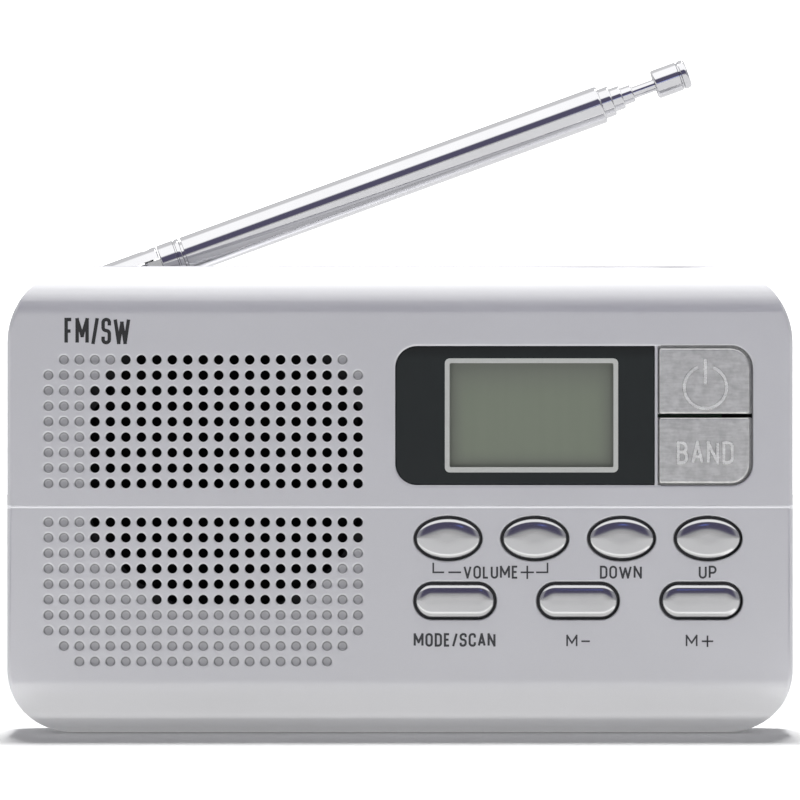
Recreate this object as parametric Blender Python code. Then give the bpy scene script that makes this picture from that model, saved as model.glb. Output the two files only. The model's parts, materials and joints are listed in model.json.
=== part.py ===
"""Compact world-band radio: two painted shells, a keypad, a display, a speaker and a folding aerial.

Metres, +Z up. The front faces -Y, the aerial lies along the top edge of the back, and the origin is the
middle of the underside. Every piece is its own object, with a real gap to its neighbours.
"""

import math

import bmesh
import bpy

MM = 0.001
GAP = 0.3 * MM

# Case
BODY_WIDTH = 130.0 * MM
BODY_HEIGHT = 77.6 * MM
FRONT_Y = -13.5 * MM
BACK_Y = 14.5 * MM
WALL = 2.0 * MM
PARTING_Y = 1.0 * MM
TOP_CORNER = 12.8 * MM
BOTTOM_CORNER = 10.8 * MM
FRONT_TOP_ROUND = 8.3 * MM
FRONT_BOTTOM_ROUND = 9.0 * MM
REAR_ROUND = 4.0 * MM
GROOVE_Z = 37.7 * MM
GROOVE_DEPTH = 0.35 * MM
HALF = BODY_WIDTH / 2
INNER_FRONT_Y = FRONT_Y + WALL
INNER_BACK_Y = BACK_Y - WALL

# Step along the top of the back in which the folded aerial lies
STEP_Y = 6.3 * MM
STEP_Z = 69.6 * MM

# Speaker grille
HOLE_PITCH = 2.56 * MM
HOLE_RADIUS = 0.8 * MM
GRILLE_CENTRE_X = -32.55 * MM
GRILLE_TOP_Z = 61.95 * MM
GRILLE_COLUMNS = 21
UPPER_ROWS = 9
LOWER_ROWS = 10
GROOVE_SKIP = 0.5
OPEN_COLUMN, OPEN_ROW = 11.5, 7.0
OPEN_REACH, OPEN_HALF_WIDTH = 9.9, 9.0

# Display
POCKET_LEFT, POCKET_RIGHT = -0.8 * MM, 58.3 * MM
POCKET_LOW, POCKET_HIGH = 41.2 * MM, 64.25 * MM
POCKET_CORNER = 3.6 * MM
POCKET_DEPTH = 1.3 * MM
RIB_LEFT, RIB_RIGHT = 42.15 * MM, 42.6 * MM
LCD_LEFT, LCD_RIGHT = 6.5 * MM, 37.0 * MM
LCD_LOW, LCD_HIGH = 42.6 * MM, 63.0 * MM

# Buttons: centre x, centre z
CAP_GAP = 0.4 * MM
OVAL_SIZE = (10.4 * MM, 6.5 * MM)
OVAL_CENTRES = {
    "volume_down": (7.95 * MM, 32.4 * MM),
    "volume_up": (22.3 * MM, 32.4 * MM),
    "tune_down": (36.65 * MM, 32.4 * MM),
    "tune_up": (50.95 * MM, 32.4 * MM),
}
PILL_SIZE = (12.8 * MM, 5.3 * MM)
PILL_CENTRES = {
    "mode": (9.1 * MM, 22.1 * MM),
    "memory_down": (29.45 * MM, 22.1 * MM),
    "memory_up": (49.8 * MM, 22.1 * MM),
}
PLATE_LEFT, PLATE_RIGHT = 42.85 * MM, 57.8 * MM
PLATE_SPLIT_Z = 52.7 * MM
PLATE_SPLIT = 0.6 * MM
PLATE_CORNER = 3.2 * MM
DOME_CREST = 1.0 * MM
PLATE_CREST = 0.4 * MM

# Circuit board and what is on it
BOARD_FRONT_Y = -6.9 * MM
BOARD_BACK_Y = -5.7 * MM
BOARD_LEFT, BOARD_RIGHT = -1.0 * MM, 53.5 * MM
BOARD_LOW, BOARD_HIGH = 8.0 * MM, 68.0 * MM
SWITCH_SIDE = 5.0 * MM
SWITCH_TOP_Y = -9.1 * MM
SWITCH_WELL = 0.9 * MM
STEM_RADIUS = 0.9 * MM
SOCKET_Y = -2.5 * MM
EARPHONE_Z = 44.6 * MM
POWER_IN_Z = 51.4 * MM

# Speaker and ferrite aerial
SPEAKER_X, SPEAKER_Z = -28.7 * MM, 44.1 * MM
FERRITE_Z = 64.2 * MM

# Battery bay, its door and two AA cells
BAY_LEFT, BAY_RIGHT = -4.5 * MM, 53.5 * MM
BAY_LOW, BAY_HIGH = 8.6 * MM, 39.6 * MM
BAY_FRONT_Y = -2.4 * MM
TRAY_WALL = 1.5 * MM
CELL_RADIUS = 7.25 * MM
CELL_LENGTH = 50.5 * MM
CELL_Y = 5.1 * MM
CELL_ROWS = {"lower": 16.3 * MM, "upper": 31.9 * MM}
DOOR_LEFT, DOOR_RIGHT = -6.2 * MM, 55.2 * MM
DOOR_HIGH = 40.6 * MM
HINGE_Y, HINGE_Z = 13.3 * MM, 9.2 * MM
HINGE_BEAD = 1.2 * MM
HINGE_PIN = 0.6 * MM
HINGE_PIN_REACH = 1.2 * MM

# Case screws
SCREW_X = 61.0 * MM
SCREW_ROWS = (14.0 * MM, 58.0 * MM)
POST_RADIUS = 2.3 * MM

# Telescopic aerial, measured along its axis from the swivel pivot
PIVOT = (-51.3 * MM, 10.0 * MM, 74.1 * MM)
AERIAL_TILT = 20.0
AERIAL_RADIUS = 3.2 * MM
ELBOW_AT = 10.0 * MM
KNUCKLE_END = 11.8 * MM
FERRULE_START, FERRULE_END = 12.0 * MM, 15.8 * MM
TAB_FRONT, TAB_BACK = -2.7 * MM, 1.0 * MM
TAB_END = 4.2 * MM
FORK_FROM = 6.3 * MM
FORK_REACH = 1.8 * MM
TONGUE_HALF = 0.95 * MM
SLOT_HALF = 1.2 * MM
# name: (outer radius, bore radius, lower end, upper end)
AERIAL_TUBES = {
    "antenna_tube_1": (3.2 * MM, 2.75 * MM, 16.2 * MM, 90.8 * MM),
    "antenna_tube_2": (2.55 * MM, 2.2 * MM, 20.5 * MM, 92.7 * MM),
    "antenna_tube_3": (2.0 * MM, 1.7 * MM, 21.0 * MM, 94.5 * MM),
    "antenna_tube_4": (1.5 * MM, 1.2 * MM, 21.5 * MM, 96.4 * MM),
}
ROD_RADIUS, ROD_START, ROD_END = 1.0 * MM, 22.0 * MM, 103.0 * MM
CAP_RADIUS, CAP_START, CAP_END = 2.45 * MM, 100.3 * MM, 106.2 * MM

# Facets
CORNER_STEPS = 8
PROFILE_STEPS = 6
BUTTON_STEPS = 3
HOLE_SIDES = 6
ROUND_SIDES = 16
FINE_SIDES = 24


def clear_scene():
    for obj in list(bpy.data.objects):
        bpy.data.objects.remove(obj, do_unlink=True)


def linear(channel):
    """An sRGB channel of 0 to 255 as the linear value that Blender's shaders use."""
    share = channel / 255
    return share / 12.92 if share <= 0.04045 else ((share + 0.055) / 1.055) ** 2.4


def paint(name, colour, roughness, metallic=0.0):
    material = bpy.data.materials.new(name)
    material.use_nodes = True
    shader = material.node_tree.nodes["Principled BSDF"]
    value = (*(linear(channel) for channel in colour), 1.0)
    shader.inputs["Base Color"].default_value = value
    shader.inputs["Roughness"].default_value = roughness
    shader.inputs["Metallic"].default_value = metallic
    material.diffuse_color = value
    return material


def make_finishes():
    return {
        "silver_paint": paint("silver_paint", (182, 181, 186), 0.42, 0.35),
        "chrome": paint("chrome", (205, 206, 212), 0.12, 1.0),
        "cast_metal": paint("cast_metal", (146, 146, 147), 0.38, 0.9),
        "black_panel": paint("black_panel", (26, 28, 29), 0.12),
        "lcd": paint("lcd", (115, 121, 108), 0.25),
        "white_plastic": paint("white_plastic", (214, 214, 208), 0.5),
        "board": paint("board", (34, 92, 58), 0.5),
        "black_plastic": paint("black_plastic", (28, 28, 30), 0.5),
        "steel": paint("steel", (172, 172, 170), 0.3, 1.0),
        "brass": paint("brass", (190, 156, 92), 0.3, 1.0),
        "paper": paint("paper", (38, 36, 35), 0.9),
        "ferrite": paint("ferrite", (58, 56, 58), 0.6),
        "copper": paint("copper", (184, 115, 72), 0.35, 1.0),
        "cell_wrap": paint("cell_wrap", (52, 60, 78), 0.35, 0.2),
    }


def on_axis(axis, a, b, along):
    """A point from its two outline coordinates and its place along the axis that the outline faces."""
    return {"X": (along, a, b), "Y": (a, along, b), "Z": (a, b, along)}[axis]


def rounded(low, high, radii, steps):
    """Points round a rectangle; radii are those of its low-low, high-low, high-high and low-high corners."""
    radii = radii if isinstance(radii, tuple) else (radii,) * 4
    centres = (
        (low[0] + radii[0], low[1] + radii[0]),
        (high[0] - radii[1], low[1] + radii[1]),
        (high[0] - radii[2], high[1] - radii[2]),
        (low[0] + radii[3], high[1] - radii[3]),
    )
    points = []
    for corner, (centre, radius) in enumerate(zip(centres, radii)):
        for step in range(steps + 1 if radius else 1):
            angle = math.pi * (1 + corner / 2) + math.pi / 2 * step / steps
            points.append((centre[0] + radius * math.cos(angle), centre[1] + radius * math.sin(angle)))
    return points


def circle(radius, sides, centre=(0.0, 0.0)):
    turns = (2 * math.pi * (side + 0.5) / sides for side in range(sides))
    return [(centre[0] + radius * math.cos(t), centre[1] + radius * math.sin(t)) for t in turns]


def new_object(name, mesh_data, parent=None, location=(0, 0, 0)):
    obj = bpy.data.objects.new(name, mesh_data)
    bpy.context.scene.collection.objects.link(obj)
    obj.parent = parent
    obj.location = location
    return obj


def mesh_object(name, bm, **placing):
    bmesh.ops.remove_doubles(bm, verts=bm.verts, dist=1e-7)
    bmesh.ops.recalc_face_normals(bm, faces=bm.faces)
    mesh = bpy.data.meshes.new(name)
    bm.to_mesh(mesh)
    bm.free()
    return new_object(name, mesh, **placing)


def loft(name, axis, rings, closed=False, **placing):
    """A solid through (outline, place along the axis) rings; closed joins the last ring to the first."""
    bm = bmesh.new()
    add_loft(bm, axis, rings, closed)
    return mesh_object(name, bm, **placing)


def add_loft(bm, axis, rings, closed=False):
    points = [[on_axis(axis, *point, along) for point in outline] for outline, along in rings]
    skin(bm, points, closed)


def skin(bm, rings, closed=False):
    """Faces between neighbouring rings of equally many points, with a cap at each end unless closed."""
    loops = [[bm.verts.new(point) for point in ring] for ring in rings]
    pairs = list(zip(loops, loops[1:])) + ([(loops[-1], loops[0])] if closed else [])
    for lower, upper in pairs:
        for i, j in zip(range(len(lower)), [*range(1, len(lower)), 0]):
            bm.faces.new((lower[i], lower[j], upper[j], upper[i]))
    if not closed:
        bm.faces.new(loops[0])
        bm.faces.new(loops[-1])


def prism(name, axis, outline, start, end, **placing):
    return loft(name, axis, [(outline, start), (outline, end)], **placing)


def block(name, low, high, **placing):
    outline = rounded((low[0], low[2]), (high[0], high[2]), 0, 1)
    return prism(name, "Y", outline, low[1], high[1], **placing)


def turned(name, axis, profile, sides=ROUND_SIDES, centre=(0.0, 0.0), closed=False, **placing):
    """A turned solid from (radius, place along the axis) points; closed makes a ring with a bore."""
    rings = [(circle(radius, sides, centre), along) for radius, along in profile]
    return loft(name, axis, rings, closed, **placing)


def tube_profile(outer, bore, start, end):
    return [(outer, start), (outer, end), (bore, end), (bore, start)]


def combine(target, other, operation="DIFFERENCE", solver="EXACT"):
    """Cuts other from target, joins it or keeps what they share, and removes other."""
    modifier = target.modifiers.new(operation.title(), "BOOLEAN")
    modifier.operation = operation
    modifier.solver = solver
    modifier.object = other
    bpy.context.view_layer.update()
    result = target.evaluated_get(bpy.context.evaluated_depsgraph_get())
    mesh = bpy.data.meshes.new_from_object(result)
    target.modifiers.clear()
    target.data = mesh
    bpy.data.objects.remove(other, do_unlink=True)
    return target


def finish(obj, material, smooth_angle=35.0):
    """Gives the piece its one material and shades its rounds smooth."""
    obj.data.materials.clear()
    obj.data.materials.append(material)
    obj.data.polygons.foreach_set("material_index", [0] * len(obj.data.polygons))
    obj.data.shade_smooth()
    obj.data.set_sharp_from_angle(angle=math.radians(smooth_angle))
    return obj


def case_solid(name, inset=0.0):
    """The case without its step, drawn in on every side by inset."""
    corners = (BOTTOM_CORNER, BOTTOM_CORNER, TOP_CORNER, TOP_CORNER)
    face = rounded(
        (-HALF + inset, inset),
        (HALF - inset, BODY_HEIGHT - inset),
        tuple(radius - inset for radius in corners),
        CORNER_STEPS,
    )
    rounds = (FRONT_BOTTOM_ROUND, REAR_ROUND, REAR_ROUND, FRONT_TOP_ROUND)
    side = rounded(
        (FRONT_Y + inset, inset),
        (BACK_Y - inset, BODY_HEIGHT - inset),
        tuple(radius - inset for radius in rounds),
        PROFILE_STEPS,
    )
    solid = prism(name, "Y", face, FRONT_Y - WALL, BACK_Y + WALL)
    return combine(solid, prism("side_profile", "X", side, -HALF - WALL, HALF + WALL), "INTERSECT")


def half_space(name, start, end):
    return block(name, (-HALF - 2 * WALL, start, -2 * WALL), (HALF + 2 * WALL, end, BODY_HEIGHT + 2 * WALL))


def hole_rows():
    upper = [GRILLE_TOP_Z - row * HOLE_PITCH for row in range(UPPER_ROWS)]
    first_lower = upper[-1] - (2 + GROOVE_SKIP) * HOLE_PITCH
    return upper + [first_lower - row * HOLE_PITCH for row in range(LOWER_ROWS)]


def grille_cutter():
    """One prism for each hole that goes through to the speaker."""
    bm = bmesh.new()
    rows = hole_rows()
    for z in rows:
        row = (rows[0] - z) / HOLE_PITCH
        for column in range(GRILLE_COLUMNS):
            across, down = column - OPEN_COLUMN, row - OPEN_ROW
            if math.hypot(across, down) > OPEN_REACH or max(abs(across), abs(down)) > OPEN_HALF_WIDTH:
                continue
            x = GRILLE_CENTRE_X + (column - (GRILLE_COLUMNS - 1) / 2) * HOLE_PITCH
            hole = circle(HOLE_RADIUS, HOLE_SIDES, (x, z))
            add_loft(bm, "Y", [(hole, FRONT_Y - WALL), (hole, INNER_FRONT_Y + WALL)])
    return mesh_object("grille_cutter", bm)


def pill_outline(size, margin=0.0, centre=(0.0, 0.0)):
    half = (size[0] / 2 + margin, size[1] / 2 + margin)
    low = (centre[0] - half[0], centre[1] - half[1])
    high = (centre[0] + half[0], centre[1] + half[1])
    return rounded(low, high, min(half), BUTTON_STEPS)


def oval_outline(size, margin=0.0, centre=(0.0, 0.0)):
    half = (size[0] / 2 + margin, size[1] / 2 + margin)
    sides = 4 * (BUTTON_STEPS + 1)
    turns = [math.pi + 2 * math.pi * side / sides for side in range(sides)]
    return [(centre[0] + half[0] * math.cos(t), centre[1] + half[1] * math.sin(t)) for t in turns]


KEY_SHAPES = ((oval_outline, OVAL_SIZE, OVAL_CENTRES), (pill_outline, PILL_SIZE, PILL_CENTRES))


def through_front(name, outline, depth=2 * WALL):
    return prism(name, "Y", outline, FRONT_Y - WALL, FRONT_Y + depth)


def key_hole_cutters():
    return [
        through_front("key_hole", outline_of(size, CAP_GAP, centre))
        for outline_of, size, centres in KEY_SHAPES
        for centre in centres.values()
    ]


def display_cutters():
    """The shallow pocket of the window, the opening of the plate keys and the LCD's sight hole."""
    small = 0.2 * MM
    lens_corners = (POCKET_CORNER, small, small, POCKET_CORNER)
    pocket = rounded((POCKET_LEFT, POCKET_LOW), (RIB_LEFT, POCKET_HIGH), lens_corners, 4)
    plate_corners = (small, POCKET_CORNER, POCKET_CORNER, small)
    plates = rounded((RIB_RIGHT, POCKET_LOW), (POCKET_RIGHT, POCKET_HIGH), plate_corners, 4)
    margin = 1.0 * MM
    sight = rounded((LCD_LEFT - margin, LCD_LOW - GAP), (LCD_RIGHT + margin, LCD_HIGH + GAP), 0, 1)
    return [
        through_front("pocket", pocket, POCKET_DEPTH),
        through_front("plate_hole", plates),
        through_front("sight", sight),
    ]


def groove_cutter():
    half_groove = GAP / 2
    low = (FRONT_Y - WALL, GROOVE_Z - half_groove)
    groove = rounded(low, (FRONT_Y + GROOVE_DEPTH, GROOVE_Z + half_groove), 0, 1)
    return prism("groove", "X", groove, -HALF - WALL, HALF + WALL)


def make_front_shell():
    shell = combine(case_solid("front_shell"), half_space("rear", PARTING_Y - GAP / 2, BACK_Y + 2 * WALL))
    combine(shell, case_solid("cavity", WALL))
    for x in (-SCREW_X, SCREW_X):
        for z in SCREW_ROWS:
            post = [(POST_RADIUS, INNER_FRONT_Y - WALL / 2), (POST_RADIUS, PARTING_Y - 2 * GAP)]
            combine(shell, turned("post", "Y", post, ROUND_SIDES, (x, z)), "UNION")
            pilot = [(1.5 * MM, INNER_FRONT_Y + 3 * MM), (1.5 * MM, PARTING_Y + WALL)]
            combine(shell, turned("pilot", "Y", pilot, 8, (x, z)))
    for cutter in [grille_cutter(), *key_hole_cutters(), *display_cutters(), groove_cutter()]:
        # The exact solver leaves open edges between this many holes.
        combine(shell, cutter, solver="MANIFOLD")
    for radius, z in ((2.6 * MM, EARPHONE_Z), (2.9 * MM, POWER_IN_Z)):
        bore = [(radius, HALF - 2 * WALL), (radius, HALF + WALL)]
        combine(shell, turned("socket_bore", "X", bore, ROUND_SIDES, (SOCKET_Y, z)))
    return shell


def make_back_shell():
    shell = combine(case_solid("back_shell"), half_space("front", FRONT_Y - 2 * WALL, PARTING_Y + GAP / 2))
    beyond = 2 * WALL
    step_low = (-HALF - beyond, STEP_Y, STEP_Z)
    combine(shell, block("step", step_low, (HALF + beyond, BACK_Y + beyond, BODY_HEIGHT + beyond)))
    cavity = case_solid("cavity", WALL)
    wall_low = (-HALF - beyond, STEP_Y - WALL, STEP_Z - WALL)
    combine(cavity, block("step_wall", wall_low, (HALF + beyond, BACK_Y + beyond, BODY_HEIGHT + beyond)))
    boss = [(4.5 * MM, PARTING_Y - WALL), (4.5 * MM, STEP_Y)]
    combine(cavity, turned("pivot_boss", "Y", boss, ROUND_SIDES, (PIVOT[0], PIVOT[2])))
    combine(shell, cavity)
    pivot_hole = [(1.5 * MM, PARTING_Y + 1.2 * MM), (1.5 * MM, STEP_Y + WALL)]
    combine(shell, turned("pivot_hole", "Y", pivot_hole, 12, (PIVOT[0], PIVOT[2])))
    tray_low = (BAY_LEFT - TRAY_WALL, BAY_FRONT_Y - TRAY_WALL, BAY_LOW - TRAY_WALL)
    tray_high = (BAY_RIGHT + TRAY_WALL, INNER_BACK_Y + WALL / 2, BAY_HIGH + TRAY_WALL)
    combine(shell, block("tray", tray_low, tray_high), "UNION")
    for x in (-SCREW_X, SCREW_X):
        for z in SCREW_ROWS:
            boss = [(POST_RADIUS, PARTING_Y + GAP / 2), (POST_RADIUS, INNER_BACK_Y + WALL / 2)]
            combine(shell, turned("boss", "Y", boss, ROUND_SIDES, (x, z)), "UNION")
    for side in (DOOR_LEFT - 2.8 * MM, DOOR_RIGHT + GAP):
        jamb_low = (side, 11.0 * MM, BAY_LOW - TRAY_WALL)
        jamb_high = (side + 2.5 * MM, INNER_BACK_Y + WALL / 2, 11.5 * MM)
        combine(shell, block("jamb", jamb_low, jamb_high), "UNION")
    combine(shell, block("bay", (BAY_LEFT, BAY_FRONT_Y, BAY_LOW), (BAY_RIGHT, BACK_Y + WALL, BAY_HIGH)))
    rebate_y = INNER_BACK_Y - GAP
    rebate_low = (DOOR_LEFT - GAP, rebate_y, HINGE_Z)
    combine(shell, block("rebate", rebate_low, (DOOR_RIGHT + GAP, BACK_Y + WALL, DOOR_HIGH + GAP)))
    reach = HINGE_BEAD + GAP
    bead_low = (DOOR_LEFT - GAP, HINGE_Y - reach, HINGE_Z - reach)
    combine(shell, block("bead_room", bead_low, (DOOR_RIGHT + GAP, BACK_Y + WALL, HINGE_Z + reach)))
    pin_ends = (DOOR_LEFT - HINGE_PIN_REACH - GAP, DOOR_RIGHT + HINGE_PIN_REACH + GAP)
    pin_hole = [(HINGE_PIN + 0.2 * MM, end) for end in pin_ends]
    combine(shell, turned("pin_hole", "X", pin_hole, 8, (HINGE_Y, HINGE_Z)))
    for x in (-SCREW_X, SCREW_X):
        for z in SCREW_ROWS:
            recess = [(1.6 * MM, PARTING_Y - WALL), (1.6 * MM, 4.5 * MM)]
            recess += [(2.6 * MM, 4.5 * MM), (2.6 * MM, BACK_Y + WALL)]
            combine(shell, turned("screw_recess", "Y", recess, 12, (x, z)))
    return shell


def make_battery_door():
    """The door lies flush in the back and turns on the bead along its lower edge."""
    low, high = DOOR_LEFT, DOOR_RIGHT
    plate_low = (low, INNER_BACK_Y - HINGE_Y, 0.0)
    door = block("battery_door", plate_low, (high, BACK_Y - HINGE_Y, DOOR_HIGH - HINGE_Z))
    bead = [(HINGE_BEAD, low), (HINGE_BEAD, high)]
    combine(door, turned("bead", "X", bead), "UNION")
    pin = [(HINGE_PIN, low - HINGE_PIN_REACH), (HINGE_PIN, high + HINGE_PIN_REACH)]
    combine(door, turned("pin", "X", pin, 8), "UNION")
    middle = (low + high) / 2
    thumb_y = BACK_Y - HINGE_Y + 9.0 * MM
    thumb = [(10.0 * MM, middle - 7.0 * MM), (10.0 * MM, middle + 7.0 * MM)]
    combine(door, turned("thumb_scoop", "X", thumb, FINE_SIDES, (thumb_y, DOOR_HIGH - HINGE_Z - 6.0 * MM)))
    door.location = (0.0, HINGE_Y, HINGE_Z)
    return door


def make_button(name, outline_of, size, centre, crest):
    """A cap with a retaining flange behind the case wall and a stem that reaches its switch."""
    flange_front = INNER_FRONT_Y - FRONT_Y + GAP
    flange_back = flange_front + 0.8 * MM
    stem_end = SWITCH_TOP_Y - FRONT_Y - 0.2 * MM
    stem = outline_of((2 * STEM_RADIUS, 2 * STEM_RADIUS))
    flange = outline_of(size, CAP_GAP + 0.7 * MM)
    shoulder = 0.35 * MM
    rings = [
        (stem, stem_end),
        (stem, flange_back),
        (flange, flange_back),
        (flange, flange_front),
        (outline_of(size), flange_front),
        (outline_of(size), -shoulder),
        (outline_of(size, -0.45 * MM), -0.7 * crest),
        (outline_of(size, -1.5 * MM), -crest),
    ]
    return loft(name, "Y", rings, location=(centre[0], FRONT_Y, centre[1]))


def make_plate_button(name, low_z, high_z, upper):
    """A flat metal key in the right of the display frame; its outer corner follows the frame."""
    centre = ((PLATE_LEFT + PLATE_RIGHT) / 2, (low_z + high_z) / 2)
    half = ((PLATE_RIGHT - PLATE_LEFT) / 2, (high_z - low_z) / 2)
    small = 0.4 * MM
    corners = (small, small, PLATE_CORNER, small) if upper else (small, PLATE_CORNER, small, small)
    flange_front = INNER_FRONT_Y - FRONT_Y + GAP
    flange_back = flange_front + 0.8 * MM
    grow = 0.6 * MM

    def face(margin):
        radii = tuple(max(radius - margin, 0.1 * MM) for radius in corners)
        high = (half[0] - margin, half[1] - margin)
        return rounded((-high[0], -high[1]), high, radii, BUTTON_STEPS)

    flange_low = (-half[0] - grow, -half[1] - (0.0 if upper else grow))
    flange_high = (half[0] + grow, half[1] + (grow if upper else 0.0))
    flange = rounded(flange_low, flange_high, small, 3)
    stem = rounded((-STEM_RADIUS, -STEM_RADIUS), (STEM_RADIUS, STEM_RADIUS), STEM_RADIUS, 3)
    rings = [
        (stem, SWITCH_TOP_Y - FRONT_Y - 0.2 * MM),
        (stem, flange_back),
        (flange, flange_back),
        (flange, flange_front),
        (face(0.0), flange_front),
        (face(0.0), -0.5 * PLATE_CREST),
        (face(0.5 * MM), -PLATE_CREST),
    ]
    return loft(name, "Y", rings, location=(centre[0], FRONT_Y, centre[1]))


def make_switch(name, centre):
    """A tact switch whose top has a well for the button's stem."""
    half = SWITCH_SIDE / 2
    back = BOARD_FRONT_Y - 0.2 * MM
    switch = block(name, (-half, SWITCH_TOP_Y, -half), (half, back, half))
    radius = STEM_RADIUS + 0.4 * MM
    well = [(radius, SWITCH_TOP_Y - WALL), (radius, SWITCH_TOP_Y + SWITCH_WELL)]
    combine(switch, turned("well", "Y", well, 8))
    switch.location = (centre[0], 0.0, centre[1])
    return switch


def make_keys(finishes):
    keys = {}
    for outline_of, size, centres in KEY_SHAPES:
        for name, centre in centres.items():
            button = make_button(f"{name}_button", outline_of, size, centre, DOME_CREST)
            keys[name] = (button, centre, "chrome")
    split_low, split_high = PLATE_SPLIT_Z - PLATE_SPLIT / 2, PLATE_SPLIT_Z + PLATE_SPLIT / 2
    plates = {
        "power": (split_high, POCKET_HIGH - CAP_GAP, True),
        "band": (POCKET_LOW + GAP, split_low, False),
    }
    for name, (low_z, high_z, upper) in plates.items():
        plate = make_plate_button(f"{name}_button", low_z, high_z, upper)
        keys[name] = (plate, ((PLATE_LEFT + PLATE_RIGHT) / 2, (low_z + high_z) / 2), "cast_metal")
    for name, (button, centre, finish_name) in keys.items():
        finish(button, finishes[finish_name])
        finish(make_switch(f"{name}_switch", centre), finishes["black_plastic"])


def make_display(finishes):
    inset = 0.15 * MM
    corner, small = POCKET_CORNER - inset, 0.2 * MM
    low, high = (POCKET_LEFT + inset, POCKET_LOW + inset), (RIB_LEFT - 0.1 * MM, POCKET_HIGH - inset)
    pane = rounded(low, high, (corner, small, small, corner), 4)
    window = prism("display_window", "Y", pane, FRONT_Y + 0.1 * MM, FRONT_Y + POCKET_DEPTH - inset)
    finish(window, finishes["black_panel"])
    glass_front = INNER_FRONT_Y + 0.2 * MM
    glass_back = glass_front + 2.0 * MM
    glass = block("lcd_glass", (LCD_LEFT, glass_front, LCD_LOW), (LCD_RIGHT, glass_back, LCD_HIGH))
    finish(glass, finishes["lcd"])
    rim = 1.5 * MM
    holder_low = (LCD_LEFT - rim, glass_back + 0.2 * MM, LCD_LOW - rim + GAP)
    holder = block("lcd_holder", holder_low, (LCD_RIGHT + rim, BOARD_FRONT_Y - 0.2 * MM, LCD_HIGH + rim))
    finish(holder, finishes["white_plastic"])


def make_board(finishes):
    board_low, board_high = (BOARD_LEFT, BOARD_FRONT_Y, BOARD_LOW), (BOARD_RIGHT, BOARD_BACK_Y, BOARD_HIGH)
    finish(block("main_board", board_low, board_high), finishes["board"])
    # name: (centre x, centre z, width, height, depth, finish)
    parts = {
        "receiver_chip": (18.0 * MM, 51.0 * MM, 9.0 * MM, 9.0 * MM, 1.2 * MM, "black_plastic"),
        "audio_chip": (34.0 * MM, 53.0 * MM, 6.0 * MM, 5.0 * MM, 1.2 * MM, "black_plastic"),
        "crystal_can": (26.5 * MM, 46.0 * MM, 3.0 * MM, 6.0 * MM, 2.5 * MM, "steel"),
    }
    for name, (x, z, width, height, depth, finish_name) in parts.items():
        front = BOARD_BACK_Y + 0.2 * MM
        low = (x - width / 2, front, z - height / 2)
        finish(block(name, low, (x + width / 2, front + depth, z + height / 2)), finishes[finish_name])


def make_sockets(finishes):
    """The earphone and supply sockets; their collars fill the bores in the right wall."""
    # name: (height, half size, collar radius, bore radius)
    sockets = {
        "earphone_socket": (EARPHONE_Z, 3.0 * MM, 2.4 * MM, 1.8 * MM),
        "power_socket": (POWER_IN_Z, 3.1 * MM, 2.7 * MM, 2.2 * MM),
    }
    back = HALF - WALL - GAP
    for name, (z, half, collar, bore) in sockets.items():
        low = (BOARD_RIGHT - 2.5 * MM, SOCKET_Y - 2.7 * MM, z - half)
        socket = block(name, low, (back, SOCKET_Y + 2.7 * MM, z + half))
        ring = [(collar, back - WALL / 2), (collar, HALF - GAP)]
        combine(socket, turned("collar", "X", ring, ROUND_SIDES, (SOCKET_Y, z)), "UNION")
        hole = [(bore, BOARD_RIGHT), (bore, HALF + WALL)]
        combine(socket, turned("hole", "X", hole, ROUND_SIDES, (SOCKET_Y, z)))
        finish(socket, finishes["black_plastic"])


def make_speaker(finishes):
    centre = (SPEAKER_X, SPEAKER_Z)
    front = INNER_FRONT_Y + 0.5 * MM
    basket = [
        (27.0 * MM, front),
        (27.0 * MM, front + 1.2 * MM),
        (24.6 * MM, front + 1.2 * MM),
        (13.5 * MM, -1.0 * MM),
        (13.5 * MM, -0.2 * MM),
        (4.5 * MM, -0.2 * MM),
        (4.5 * MM, -1.0 * MM),
        (12.6 * MM, -1.0 * MM),
        (23.7 * MM, front + 1.0 * MM),
        (24.0 * MM, front),
    ]
    finish(turned("speaker_basket", "Y", basket, FINE_SIDES, centre, closed=True), finishes["steel"])
    cone = [
        (0.5 * MM, -6.6 * MM),
        (3.0 * MM, -6.2 * MM),
        (5.6 * MM, -4.4 * MM),
        (22.6 * MM, -10.9 * MM),
        (23.2 * MM, -10.7 * MM),
        (5.8 * MM, -3.8 * MM),
        (0.5 * MM, -3.6 * MM),
    ]
    finish(turned("speaker_cone", "Y", cone, FINE_SIDES, centre), finishes["paper"])
    magnet = [(12.0 * MM, 0.1 * MM), (12.5 * MM, 0.6 * MM), (12.5 * MM, 5.1 * MM), (12.0 * MM, 5.6 * MM)]
    finish(turned("speaker_magnet", "Y", magnet, FINE_SIDES, centre), finishes["ferrite"])


def make_ferrite_aerial(finishes):
    centre = (0.0, FERRITE_Z)
    rod = [(4.0 * MM, 1.0 * MM), (4.0 * MM, 50.0 * MM)]
    finish(turned("ferrite_rod", "X", rod, ROUND_SIDES, centre), finishes["ferrite"])
    coil = tube_profile(5.2 * MM, 4.3 * MM, 9.0 * MM, 24.0 * MM)
    finish(turned("ferrite_coil", "X", coil, ROUND_SIDES, centre, closed=True), finishes["copper"])


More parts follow.
